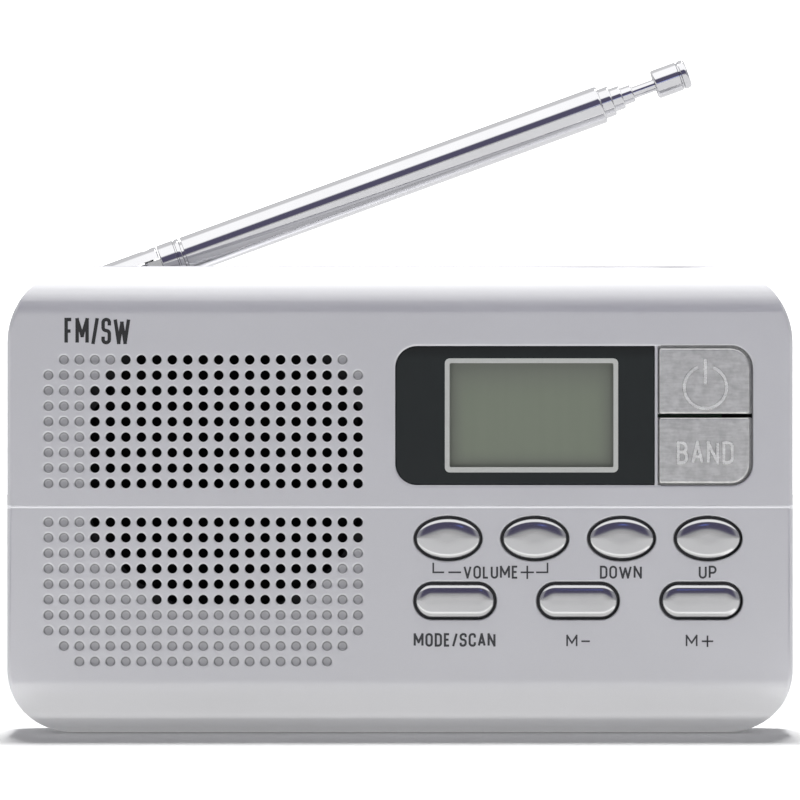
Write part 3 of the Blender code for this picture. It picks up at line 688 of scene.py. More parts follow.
def prism(name: str, axis: str, outline: Outline, start: float, end: float) -> Solid:
    """An outline drawn out along an axis."""
    return loft(name, axis, [(outline, start), (outline, end)])


def block(name: str, low: Sequence[float], high: Sequence[float]) -> Solid:
    """A cuboid, used to cut."""
    outline = [(low[0], low[2]), (high[0], low[2]), (high[0], high[2]), (low[0], high[2])]
    return prism(name, "Y", outline, low[1], high[1])


def turned(
    name: str,
    axis: str,
    profile: Sequence[Point2],
    centre: Point2 = (0.0, 0.0),
    sides: int = 48,
    closed: bool = False,
) -> Solid:
    """A turned solid.

    Args:
        name: The object's name.
        axis: The axis it is turned on.
        profile: (radius, place along the axis) points.
        centre: Where the axis crosses the plane of the circles.
        sides: Facets round it.
        closed: Whether the profile closes on itself, for a ring.

    Returns:
        The object.
    """
    return loft(name, axis, [(oval((r, r), centre, sides), along) for r, along in profile], closed)


def lip(radius: float, place: float, soft: float, outward: int, steps: int = 4) -> list[Point2]:
    """Profile points of a rounded outer end.

    Args:
        radius: The outer radius.
        place: Where the end face is along the axis.
        soft: The rounding's radius.
        outward: 1 where the end faces up the axis, -1 where it faces down.
        steps: Facets of the rounding.

    Returns:
        Points from the side to the end face, or the other way round when it faces down.
    """
    points = []
    for step in range(steps + 1):
        turn = math.pi / 2 * step / steps
        across, along = radius - soft + soft * math.cos(turn), place - outward * soft * (1 - math.sin(turn))
        points.append((across, along))
    return points if outward > 0 else points[::-1]


def combine(target: Solid, other: Solid, join: Join = Join.CUT) -> Solid:
    """Applies a Boolean and removes the second object.

    Args:
        target: The solid that changes.
        other: The solid that is used up.
        join: What the Boolean does.

    Returns:
        The target.
    """
    modifier = target.modifiers.new(join.name, "BOOLEAN")
    modifier.operation = join.value
    modifier.solver = "MANIFOLD"
    modifier.object = other
    freeze(target)
    bpy.data.objects.remove(other, do_unlink=True)
    return target


def freeze(obj: Solid) -> None:
    """Turns an object and its modifiers into a plain mesh.

    Args:
        obj: The object.
    """
    bpy.context.view_layer.update()
    evaluated = obj.evaluated_get(bpy.context.evaluated_depsgraph_get())
    mesh = bpy.data.meshes.new_from_object(evaluated)
    obj.modifiers.clear()
    obj.data = mesh


class Repeater:
    """A Geometry Nodes tree that sets a shape on every vertex of a mesh of places."""

    def __init__(self, name: str) -> None:
        """Builds the tree with its named inputs: the places, the shape, its size and its material.

        Args:
            name: The tree's name.
        """
        self.tree = bpy.data.node_groups.new(name, "GeometryNodeTree")
        face, nodes = self.tree.interface, self.tree.nodes
        self.ids: dict[str, str] = {}
        kinds = {"Places": "Geometry", "Shape": "Object", "Size": "Float", "Finish": "Material"}
        for socket, kind in kinds.items():
            made = face.new_socket(socket, in_out="INPUT", socket_type=f"NodeSocket{kind}")
            self.ids[socket] = made.identifier
        face.new_socket("Pieces", in_out="OUTPUT", socket_type="NodeSocketGeometry")
        given, result = nodes.new("NodeGroupInput"), nodes.new("NodeGroupOutput")
        info = nodes.new("GeometryNodeObjectInfo")
        spread = nodes.new("GeometryNodeInstanceOnPoints")
        real = nodes.new("GeometryNodeRealizeInstances")
        paint = nodes.new("GeometryNodeSetMaterial")
        for start, output, end, entry in (
            (given, "Shape", info, "Object"),
            (given, "Places", spread, "Points"),
            (info, "Geometry", spread, "Instance"),
            (given, "Size", spread, "Scale"),
            (spread, "Instances", real, "Geometry"),
            (real, "Geometry", paint, "Geometry"),
            (given, "Finish", paint, "Material"),
            (paint, "Geometry", result, "Pieces"),
        ):
            self.tree.links.new(start.outputs[output], end.inputs[entry])

    def spread(
        self,
        name: str,
        shape: Solid,
        places: Sequence[Sequence[float]],
        finish: Material | None = None,
        size: float = 1.0,
    ) -> Solid:
        """Copies a shape to places and returns one plain mesh.

        Args:
            name: The new object's name.
            shape: What is copied; it is removed.
            places: Where the copies' origins go.
            finish: Their material.
            size: Their scale.

        Returns:
            The object.
        """
        mesh = bpy.data.meshes.new(name)
        mesh.from_pydata([tuple(place) for place in places], [], [])
        obj = new_object(name, mesh)
        modifier = obj.modifiers.new("Repeat", "NODES")
        modifier.node_group = self.tree
        for socket, value in (("Shape", shape), ("Size", size), ("Finish", finish)):
            modifier[self.ids[socket]] = value
        freeze(obj)
        bpy.data.objects.remove(shape, do_unlink=True)
        return obj


def settle(mesh: bpy.types.Mesh, angle: float) -> None:
    """Gives each corner the normal of the flat surface that it joins smoothly, where one is far the widest.

    Args:
        mesh: The mesh.
        angle: Edges sharper than this many degrees are sharp.
    """
    limit, far_wider = math.cos(math.radians(angle)), 8
    faces = [tuple(face.normal) for face in mesh.polygons]
    around: list[list[int]] = [[] for _ in mesh.vertices]
    widths: dict[tuple[int, ...], float] = {}
    planes = []
    for face in mesh.polygons:
        plane = (*(round(400 * part) for part in face.normal), round(1e5 * face.normal.dot(face.center)))
        planes.append(plane)
        widths[plane] = widths.get(plane, 0.0) + face.area
        for vertex in face.vertices:
            around[vertex].append(face.index)
    normals = [tuple(corner.vector) for corner in mesh.corner_normals]
    for face in mesh.polygons:
        across, along, up = faces[face.index]
        for loop, vertex in zip(face.loop_indices, face.vertices):
            near = [
                other
                for other in around[vertex]
                if faces[other][0] * across + faces[other][1] * along + faces[other][2] * up > limit
            ]
            widest = max(near, key=lambda other: widths[planes[other]])
            rest = [widths[planes[other]] for other in near if planes[other] != planes[widest]]
            if rest and widths[planes[widest]] > far_wider * max(rest):
                normals[loop] = faces[widest]
    mesh.normals_split_custom_set(normals)


def dress(
    obj: Solid,
    finish: Material,
    body: str,
    replaced: Sequence[str] = (),
    angle: float = 32.0,
) -> None:
    """Finishes a piece: material, normals, body and the CAD nodes that it stands for.

    Args:
        obj: The piece.
        finish: Its material.
        body: The body it rides on.
        replaced: The CAD nodes it stands for.
        angle: Edges sharper than this many degrees stay sharp.
    """
    obj.data.materials.clear()
    obj.data.materials.append(finish)
    obj.data.polygons.foreach_set("material_index", [0] * len(obj.data.polygons))
    obj.data.shade_smooth()
    obj.data.set_sharp_from_angle(angle=math.radians(angle))
    weighted = obj.modifiers.new("Even normals", "WEIGHTED_NORMAL")
    weighted.keep_sharp = True
    freeze(obj)
    settle(obj.data, angle)
    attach(obj, body)
    if replaced:
        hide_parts(*replaced)
    LOG.info("%s rides on %s, %d faces", obj.name, body, len(obj.data.polygons))


# --- case


WIDE = 200 * MM
FRONT_Y, BACK_Y = -13.5 * MM, 14.5 * MM
POCKET_LOW, POCKET_HIGH = (-0.8 * MM, 41.2 * MM), (58.3 * MM, 64.25 * MM)
POCKET_CORNER = 3.6 * MM
RIB = (42.15 * MM, 42.6 * MM)
OVAL_HALF = (5.2 * MM, 3.25 * MM)
PILL_HALF = (6.4 * MM, 2.65 * MM)
OVALS: dict[str, Point2] = {
    "volume_down": (7.95 * MM, 32.4 * MM),
    "volume_up": (22.3 * MM, 32.4 * MM),
    "tune_down": (36.65 * MM, 32.4 * MM),
    "tune_up": (50.95 * MM, 32.4 * MM),
}
PILLS: dict[str, Point2] = {
    "mode": (9.1 * MM, 22.1 * MM),
    "memory_down": (29.45 * MM, 22.1 * MM),
    "memory_up": (49.8 * MM, 22.1 * MM),
}
SCREWS = [(side * 61.0 * MM, row * MM) for row in (14.0, 58.0) for side in (-1, 1)]
SOCKET_Y = -2.5 * MM
SOCKET_HOLES = ((2.6 * MM, 44.6 * MM), (2.9 * MM, 51.4 * MM))


def pill(half: Point2, grow: float = 0.0, centre: Point2 = (0.0, 0.0), steps: int = 16) -> Outline:
    """Points round a bar with round ends."""
    across, up = half[0] + grow, half[1] + grow
    return rounded((centre[0] - across, centre[1] - up), (centre[0] + across, centre[1] + up), up, steps)


def ellipse(half: Point2, grow: float = 0.0, centre: Point2 = (0.0, 0.0)) -> Outline:
    """Points round an oval key."""
    return oval((half[0] + grow, half[1] + grow), centre, 96)


@dataclass
class CaseBody:
    """The outer form that both shells are cut from."""

    half_width: float = 65.0 * MM
    height: float = 77.6 * MM
    wall: float = 2.0 * MM
    parting: float = 1.0 * MM
    gap: float = 0.3 * MM
    top_corner: float = 12.8 * MM
    bottom_corner: float = 10.8 * MM
    front_rounds: Point2 = (9.0 * MM, 8.3 * MM)
    rear_round: float = 4.0 * MM
    front_edge: float = 0.8 * MM
    rear_edge: float = 1.6 * MM

    def form(self, name: str, inset: float = 0.0, steps: int = 22) -> Solid:
        """The closed form of the case, drawn in on every side.

        Args:
            name: The object's name.
            inset: How far each side is drawn in.
            steps: Facets per rounded corner.

        Returns:
            The solid.
        """
        low, high = (-self.half_width + inset, inset), (self.half_width - inset, self.height - inset)
        corners = (self.bottom_corner, self.bottom_corner, self.top_corner, self.top_corner)
        front, rear = FRONT_Y + inset, BACK_Y - inset
        rings = []
        for edge, place, outward in ((self.front_edge, front, -1), (self.rear_edge, rear, 1)):
            for drawn, along in lip(edge, place, edge, outward, 6):
                shy = edge - drawn
                face = rounded(
                    (low[0] + shy, low[1] + shy),
                    (high[0] - shy, high[1] - shy),
                    [corner - inset - shy for corner in corners],
                    steps,
                )
                rings.append((face, along))
        solid = loft(name, "Y", rings)
        rounds = [self.front_rounds[0], self.rear_round, self.rear_round, self.front_rounds[1]]
        side = rounded((front, inset), (rear, self.height - inset), [r - inset for r in rounds], steps)
        return combine(solid, prism("side", "X", side, -WIDE, WIDE), Join.SHARE)

    def bore_sockets(self, shell: Solid, ease: float = 0.0) -> None:
        """Bores the holes of both sockets through the right side.

        Args:
            shell: The shell.
            ease: How wide each mouth is eased.
        """
        edge = self.half_width
        for radius, z in SOCKET_HOLES:
            mouth = [(radius, edge - ease), (radius + ease, edge)] if ease else []
            bore = [(radius, edge - 5 * MM), *mouth, (radius + ease, edge + 1 * MM)]
            combine(shell, turned("socket_bore", "X", bore, (SOCKET_Y, z), 64))


@dataclass
class Grille:
    """The perforations: a field of small round-mouthed holes, open in front of the speaker."""

    pitch: float = 2.56 * MM
    radius: float = 0.8 * MM
    mouth: float = 1.08 * MM
    centre_x: float = -32.55 * MM
    top_z: float = 61.95 * MM
    columns: int = 21
    upper_rows: int = 9
    lower_rows: int = 10
    groove_skip: float = 0.5
    open_centre: Point2 = (11.5, 7.0)
    open_reach: float = 9.9
    open_half: float = 9.0
    blind_depth: float = 0.57 * MM
    sides: int = 16

    def rows(self) -> list[float]:
        """Works out where the rows lie, with a gap for the dividing groove.

        Returns:
            Their heights from the top.
        """
        upper = [self.top_z - row * self.pitch for row in range(self.upper_rows)]
        first = upper[-1] - (2 + self.groove_skip) * self.pitch
        return upper + [first - row * self.pitch for row in range(self.lower_rows)]

    def places(self) -> tuple[list[Point3], list[Point3]]:
        """Works out the holes' centres.

        Returns:
            Those of the open holes, and those of the blind ones.
        """
        opened: list[Point3] = []
        blind: list[Point3] = []
        rows = self.rows()
        cut_short = {0: 1, len(rows) - 2: 1, len(rows) - 1: 2}
        for number, z in enumerate(rows):
            skip = cut_short.get(number, 0)
            for column in range(skip, self.columns - skip):
                x = self.centre_x + (column - (self.columns - 1) / 2) * self.pitch
                across = column - self.open_centre[0]
                down = (rows[0] - z) / self.pitch - self.open_centre[1]
                near = max(abs(across), abs(down)) <= self.open_half
                inside = near and math.hypot(across, down) <= self.open_reach
                (opened if inside else blind).append((x, FRONT_Y, z))
        return opened, blind

    def cutter(self, name: str, below: Sequence[Point2]) -> Solid:
        """One hole's cutter round the origin, its soft mouth on the face.

        Args:
            name: The cutter's name.
            below: (radius, depth) points under the mouth.

        Returns:
            The cutter.
        """
        middle = (0.45 * self.mouth + 0.55 * self.radius, 0.05 * MM)
        mouth = [(self.mouth, -0.3 * MM), (self.mouth, 0.0), middle, (self.radius, 0.16 * MM)]
        return turned(name, "Y", [*mouth, *below], sides=self.sides)

    def cut(self, shell: Solid, repeater: Repeater) -> None:
        """Cuts both kinds of hole.

        Args:
            shell: The shell that they are cut into.
            repeater: What spreads their cutters.
        """
        through = [(self.radius, 3.0 * MM)]
        bowl = [(0.77 * MM, 0.4 * MM), (0.6 * MM, 0.52 * MM), (0.42 * MM, self.blind_depth)]
        for name, places, below in zip(("open", "blind"), self.places(), (through, bowl)):
            combine(shell, repeater.spread(f"{name}_holes", self.cutter(f"{name}_hole", below), places))
            LOG.info("grille: %d %s holes", len(places), name)


@dataclass
class CaseFront:
    """The front shell with its grille, display pocket, key holes and dividing groove."""

    body: CaseBody
    grille: Grille
    repeater: Repeater
    finish: Material
    pocket_depth: float = 1.3 * MM
    chamfer: Point2 = (0.42 * MM, 0.2 * MM)
    key_gap: float = 0.4 * MM
    key_bevel: float = 0.34 * MM
    groove_rows: Point2 = (37.36 * MM, 37.86 * MM)
    groove_depth: float = 0.22 * MM
    sight: tuple[Point2, Point2] = ((5.5 * MM, 42.3 * MM), (38.0 * MM, 63.3 * MM))
    post: float = 2.3 * MM
    pilot: float = 1.5 * MM

    def eased(self, name: str, outline: Callable[[float], Outline], ease: float, depth: float) -> Solid:
        """A cutter into the face whose mouth is eased.

        Args:
            name: The cutter's name.
            outline: The opening's outline, grown by a distance.
            ease: How wide and deep the easing is.
            depth: How far it cuts.

        Returns:
            The cutter.
        """
        rings = [(outline(ease), FRONT_Y - self.body.wall), (outline(ease), FRONT_Y)]
        for step in range(1, 5):
            turn = math.pi / 2 * step / 4
            rings.append((outline(ease * (1 - math.sin(turn))), FRONT_Y + ease * (1 - math.cos(turn))))
        return loft(name, "Y", rings + [(outline(0.0), FRONT_Y + depth)])

    def pocket_cutters(self) -> list[Solid]:
        """Builds what makes room for the display and the plate keys.

        Returns:
            The chamfered edge, the lens pocket, the plate keys' opening and the sight hole.
        """
        low, high, corner, small = POCKET_LOW, POCKET_HIGH, POCKET_CORNER, 0.2 * MM
        front, deep = FRONT_Y - self.body.wall, FRONT_Y + 2 * self.body.wall
        out, fall = self.chamfer
        wide = rounded((low[0] - out, low[1] - out), (high[0] + out, high[1] + out), corner + out, 14)
        chamfer = [(wide, front), (wide, FRONT_Y), (rounded(low, high, corner, 14), FRONT_Y + fall)]
        lens = rounded(low, (RIB[0], high[1]), [corner, small, small, corner], 14)
        plates = rounded((RIB[1], low[1]), high, [small, corner, corner, small], 14)
        (left, floor), (right, top) = self.sight
        return [
            loft("pocket_edge", "Y", chamfer),
            prism("lens_pocket", "Y", lens, front, FRONT_Y + self.pocket_depth),
            prism("plate_opening", "Y", plates, front, deep),
            block("sight", (left, front, floor), (right, deep, top)),
        ]

    def key_cutters(self) -> list[Solid]:
        """Builds the eased openings of the round-topped keys.

        Returns:
            One cutter for each key.
        """
        gap, bevel, deep = self.key_gap, self.key_bevel, 2 * self.body.wall
        kinds = ((ellipse, OVAL_HALF, OVALS), (pill, PILL_HALF, PILLS))
        return [
            self.eased(f"{name}_hole", lambda ease: shape(half, gap + ease, centre), bevel, deep)
            for shape, half, centres in kinds
            for name, centre in centres.items()
        ]

    def groove_cutter(self) -> Solid:
        """Builds the groove's cutter, with a long slope below and a ledge above.

        Returns:
            The cutter.
        """
        front = FRONT_Y - self.body.wall
        low, high = self.groove_rows
        deepest = (FRONT_Y + self.groove_depth, high - 0.06 * MM)
        section = [(front, low), (FRONT_Y, low), deepest, (FRONT_Y, high), (front, high)]
        return prism("groove", "X", section, -WIDE, WIDE)

    def build(self) -> None:
        """Builds and dresses the front shell."""
        body = self.body
        shell = body.form("front_case")
        back_half = ((-WIDE, body.parting - body.gap / 2, -WIDE), (WIDE, WIDE, WIDE))
        combine(shell, block("back_half", *back_half))
        combine(shell, body.form("hollow", body.wall, 8))
        for x, z in SCREWS:
            post = [(self.post, FRONT_Y + 1.0 * MM), (self.post, body.parting - 2 * body.gap)]
            combine(shell, turned("post", "Y", post, (x, z)), Join.ADD)
            pilot = [(self.pilot, FRONT_Y + 5.0 * MM), (self.pilot, body.parting + body.wall)]
            combine(shell, turned("pilot", "Y", pilot, (x, z)))
        for cutter in (*self.pocket_cutters(), *self.key_cutters(), self.groove_cutter()):
            combine(shell, cutter)
        body.bore_sockets(shell, 0.25 * MM)
        self.grille.cut(shell, self.repeater)
        dress(shell, self.finish, "case", ["front_shell"])


@dataclass
class CaseBack:
    """The back shell: the aerial's step, the battery bay and the recesses of the case screws."""

    body: CaseBody
    finish: Material
    step_y: float = 6.3 * MM
    step_z: float = 69.6 * MM
    pivot: Point2 = (-51.3 * MM, 74.1 * MM)
    bay_low: Point3 = (-4.5 * MM, -2.4 * MM, 8.6 * MM)
    bay_high: tuple[float, float] = (53.5 * MM, 39.6 * MM)
    door_low: Point2 = (-6.2 * MM, 8.0 * MM)
    door_high: Point2 = (55.2 * MM, 40.6 * MM)
    hinge: Point2 = (13.3 * MM, 9.2 * MM)
    hinge_reach: float = 1.5 * MM
    tray: float = 1.5 * MM
    boss: float = 3.0 * MM
    step_ease: float = 0.6 * MM
    jamb_width: float = 2.5 * MM
    jamb_rows: Point2 = (7.1 * MM, 11.5 * MM)

    def hollow(self) -> Solid:
        """Builds the space inside, with a wall left round the step and a boss under the pivot.

        Returns:
            The space.
        """
        body = self.body
        space = body.form("hollow", body.wall, 8)
        wall = (-WIDE, self.step_y - body.wall, self.step_z - body.wall)
        combine(space, block("step_wall", wall, (WIDE, WIDE, WIDE)))
        boss = [(4.5 * MM, body.parting - body.wall), (4.5 * MM, self.step_y)]
        return combine(space, turned("pivot_boss", "Y", boss, self.pivot))

    def add_inner_walls(self, shell: Solid) -> None:
        """Adds the battery tray, the screw bosses and the door's jambs.

        Args:
            shell: The shell.
        """
        body, tray = self.body, self.tray
        deep = BACK_Y - body.wall / 2
        low = [edge - tray for edge in self.bay_low]
        high = (self.bay_high[0] + tray, deep, self.bay_high[1] + tray)
        combine(shell, block("tray", low, high), Join.ADD)
        for place in SCREWS:
            boss = [(self.boss, body.parting + body.gap / 2), (self.boss, deep)]
            combine(shell, turned("boss", "Y", boss, place), Join.ADD)
        low, high = self.jamb_rows
        for side in (self.door_low[0] - body.gap - self.jamb_width, self.door_high[0] + body.gap):
            jamb = block("jamb", (side, 11.0 * MM, low), (side + self.jamb_width, deep, high))
            combine(shell, jamb, Join.ADD)

    def cut_openings(self, shell: Solid) -> None:
        """Cuts the bay, the door's rebate and hinge, and the screw recesses.

        Args:
            shell: The shell.
        """
        body, gap = self.body, self.body.gap
        far = BACK_Y + body.wall
        combine(shell, block("bay", self.bay_low, (self.bay_high[0], far, self.bay_high[1])))
        low, high = self.door_low[0] - gap, self.door_high[0] + gap
        rebate_y = BACK_Y - body.wall - gap
        combine(shell, block("rebate", (low, rebate_y, self.hinge[1]), (high, far, self.door_high[1] + gap)))
        bead = (low, self.hinge[0] - self.hinge_reach, self.hinge[1] - self.hinge_reach)
        combine(shell, block("bead_room", bead, (high, far, self.hinge[1] + self.hinge_reach)))
        pin = [(0.8 * MM, low - 1.2 * MM), (0.8 * MM, high + 1.2 * MM)]
        combine(shell, turned("pin_hole", "X", pin, self.hinge, 24))
        for place in SCREWS:
            recess = [(1.6 * MM, body.parting - body.wall), (1.6 * MM, 4.5 * MM), (2.6 * MM, 4.5 * MM)]
            recess += [(2.6 * MM, BACK_Y - 0.3 * MM), (2.9 * MM, BACK_Y), (2.9 * MM, far)]
            combine(shell, turned("screw_recess", "Y", recess, place, 40))
        hole = [(1.5 * MM, body.parting + 1.2 * MM), (1.5 * MM, self.step_y + body.wall)]
        combine(shell, turned("pivot_hole", "Y", hole, self.pivot, 32))

    def build(self) -> None:
        """Builds and dresses the back shell."""
        body, y, z, ease = self.body, self.step_y, self.step_z, self.step_ease
        shell = body.form("back_case")
        combine(shell, block("front_half", (-WIDE, -WIDE, -WIDE), (WIDE, body.parting + body.gap / 2, WIDE)))
        corner = [(y, z + ease), (y + 0.3 * ease, z + 0.3 * ease), (y + ease, z)]
        step = [(y, WIDE), *corner, (WIDE, z), (WIDE, WIDE)]
        combine(shell, prism("step", "X", step, -WIDE, WIDE))
        combine(shell, self.hollow())
        self.add_inner_walls(shell)
        self.cut_openings(shell)
        body.bore_sockets(shell)
        dress(shell, self.finish, "case", ["back_shell"])


@dataclass
class BatteryDoor:
    """The door in the back: a thin plate with a hinge bead, two pins and a ribbed thumb scoop."""

    repeater: Repeater
    finish: Material
    low: Point2 = (-6.2 * MM, 9.2 * MM)
    high: Point2 = (55.2 * MM, 40.6 * MM)
    front_y: float = 12.5 * MM
    ease: float = 0.25 * MM
    hinge: Point2 = (13.3 * MM, 9.2 * MM)
    bead: float = 1.2 * MM
    pin: float = 0.6 * MM
    pin_reach: float = 1.2 * MM
    scoop_radius: float = 10.0 * MM
    scoop_rise: float = 9.0 * MM
    scoop_half: float = 7.0 * MM
    scoop_down: float = 6.0 * MM
    ribs: int = 5
    rib_pitch: float = 1.25 * MM

    def plate(self) -> Solid:
        """Builds the door's plate with eased outer edges.

        Returns:
            The plate.
        """
        part, rings = 0.3 * self.ease, []
        stops = ((0.0, self.front_y), (0.0, BACK_Y - self.ease), (part, BACK_Y - part), (self.ease, BACK_Y))
        for shy, along in stops:
            low, high = (self.low[0] + shy, self.low[1]), (self.high[0] - shy, self.high[1] - shy)
            rings.append((rounded(low, high, 0.3 * MM), along))
        return loft("battery_lid", "Y", rings)

    def rib_row(self) -> Solid:
        """Builds the grip ribs standing in the scoop.

        Returns:
            The ribs as one mesh.
        """
        middle = (self.low[0] + self.high[0]) / 2
        top = self.high[1] - self.scoop_down
        half = self.scoop_half - 0.8 * MM
        section = [(-0.22 * MM, -0.5 * MM), (0.22 * MM, -0.5 * MM), (0.22 * MM, 0.1 * MM)]
        section += [(0.1 * MM, 0.24 * MM), (-0.1 * MM, 0.24 * MM), (-0.22 * MM, 0.1 * MM)]
        bar = prism("rib", "X", [(up, across) for across, up in section], -half, half)
        places = []
        for number in range(self.ribs):
            down = (number - (self.ribs - 1) / 2) * self.rib_pitch
            floor = BACK_Y + self.scoop_rise - math.sqrt(self.scoop_radius**2 - down**2)
            places.append((middle, floor, top + down))
        return self.repeater.spread("door_ribs", bar, places, self.finish)

    def build(self) -> None:
        """Builds and dresses the door and its ribs."""
        lid = self.plate()
        ends = (self.low[0], self.high[0])
        combine(lid, turned("bead", "X", [(self.bead, end) for end in ends], self.hinge, 48), Join.ADD)
        pins = [(self.pin, ends[0] - self.pin_reach), (self.pin, ends[1] + self.pin_reach)]
        combine(lid, turned("pins", "X", pins, self.hinge, 24), Join.ADD)
        middle = (ends[0] + ends[1]) / 2
        scoop = [(self.scoop_radius, middle + side * self.scoop_half) for side in (-1, 1)]
        centre = (BACK_Y + self.scoop_rise, self.high[1] - self.scoop_down)
        combine(lid, turned("scoop", "X", scoop, centre, 160))
        dress(self.rib_row(), self.finish, "battery_door")
        dress(lid, self.finish, "battery_door", ["battery_door"])


# --- display


@dataclass
class Display:
    """The black-printed window, its silver border and the liquid crystal behind the sight hole."""

    panel: Material
    border: Material
    glass: Material
    inset: float = 0.15 * MM
    face_y: float = -13.4 * MM
    back_y: float = -12.35 * MM
    sight_low: Point2 = (8.2 * MM, 44.2 * MM)
    sight_high: Point2 = (35.3 * MM, 61.4 * MM)
    sight_corner: float = 0.25 * MM
    border_low: Point2 = (7.42 * MM, 43.32 * MM)
    border_high: Point2 = (36.08 * MM, 62.18 * MM)
    border_corner: float = 0.8 * MM
    print_depth: float = 0.02 * MM
    glass_front: float = -12.28 * MM

    def pane(self) -> Solid:
        """Builds the window with its sight hole and its eased front edge.

        Returns:
            The window.
        """
        corner, small = POCKET_CORNER - self.inset, 0.2 * MM
        low = (POCKET_LOW[0] + self.inset, POCKET_LOW[1] + self.inset)
        high = (RIB[0] - 0.1 * MM, POCKET_HIGH[1] - self.inset)

        def face(shy: float) -> Outline:
            """The pane's outline drawn in by a distance."""
            radii = [corner - shy, small, small, corner - shy]
            return rounded((low[0] + shy, low[1] + shy), (high[0] - shy, high[1] - shy), radii, 14)

        ease = 0.12 * MM
        rings = [(face(ease), self.face_y), (face(0.0), self.face_y + ease), (face(0.0), self.back_y)]
        pane = loft("window_pane", "Y", rings)
        sight = rounded(self.sight_low, self.sight_high, self.sight_corner, 5)
        return combine(pane, prism("sight", "Y", sight, self.face_y - 1 * MM, self.back_y + 1 * MM))

    def build(self) -> None:
        """Builds and dresses the pane, the printed border and the glass."""
        dress(self.pane(), self.panel, "case", ["display_window"])
        line = rounded(self.border_low, self.border_high, self.border_corner, 6)
        ends = (self.face_y - self.print_depth, self.face_y + self.print_depth)
        border = prism("window_border", "Y", line, *ends)
        sight = rounded(self.sight_low, self.sight_high, self.sight_corner, 5)
        combine(border, prism("sight", "Y", sight, self.face_y - 1 * MM, self.face_y + 1 * MM))
        dress(border, self.border, "case")
        low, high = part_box("lcd_glass")
        outline = rounded((low.x, low.z), (high.x, high.z), 0.3 * MM, 4)
        glass = prism("lcd_panel", "Y", outline, self.glass_front, high.y)
        dress(glass, self.glass, "case", ["lcd_glass"])


# --- keys


@dataclass
class KeyStem:
    """The hidden parts that every key shares: its retaining flange and the stem to its switch."""

    flange_front: float = -11.2 * MM
    flange_back: float = -10.4 * MM
    stem_end: float = -9.3 * MM
    stem: float = 0.9 * MM
    flange: float = 1.1 * MM

    def rings(self, outline: Callable[[float], Outline], centre: Point2) -> list[tuple[Outline, float]]:
        """Rings from the stem's end to the back of the cap.

        Args:
            outline: The cap's outline grown by a distance.
            centre: The cap's centre.

        Returns:
            The rings, back to front.
        """
        sides = len(outline(0.0))
        stem = oval((self.stem, self.stem), centre, sides)
        wide = outline(self.flange)
        return [
            (stem, self.stem_end),
            (stem, self.flange_back),
            (wide, self.flange_back),
            (wide, self.flange_front),
            (outline(0.0), self.flange_front),
        ]


@dataclass
class RoundKeys:
    """The plated oval and pill keys."""

    finish: Material
    stem: KeyStem
    crest_y: float = -14.5 * MM
    shoulder_y: float = -13.88 * MM
    steps: int = 22
    flatness: float = 4.0

    def height(self, share: float) -> float:
        """Where the crown lies along Y at a share of the way out: flat in the middle, steep at the rim."""
        return self.shoulder_y + (self.crest_y - self.shoulder_y) * math.sqrt(1 - share**self.flatness)

    def shares(self) -> list[float]:
        """Where the crown's rings lie, from the rim inwards."""
        return [math.cos(math.pi / 2 * step / self.steps) for step in range(1, self.steps)]

    def outline(self, share: float, centre: Point2, is_oval: bool) -> Outline:
        """A crown's ring: an oval shrinks evenly, and a pill draws in to the line between its ends."""
        small, shy = (OVAL_HALF[0] * share, OVAL_HALF[1] * share), PILL_HALF[1] * (1 - share)
        return ellipse(small, 0.0, centre) if is_oval else pill(PILL_HALF, -shy, centre)

    def build(self) -> None:
        """Builds and dresses the seven keys."""
        for name, centre in (*OVALS.items(), *PILLS.items()):
            shape, half = (ellipse, OVAL_HALF) if name in OVALS else (pill, PILL_HALF)
            rings = self.stem.rings(lambda grow: shape(half, grow, centre), centre)
            rings.append((shape(half, 0.0, centre), self.shoulder_y))
            for share in self.shares():
                rings.append((self.outline(share, centre, name in OVALS), self.height(share)))
            node = f"{name}_button"
            dress(loft(f"{name}_key", "Y", rings), self.finish, node, [node], 50.0)


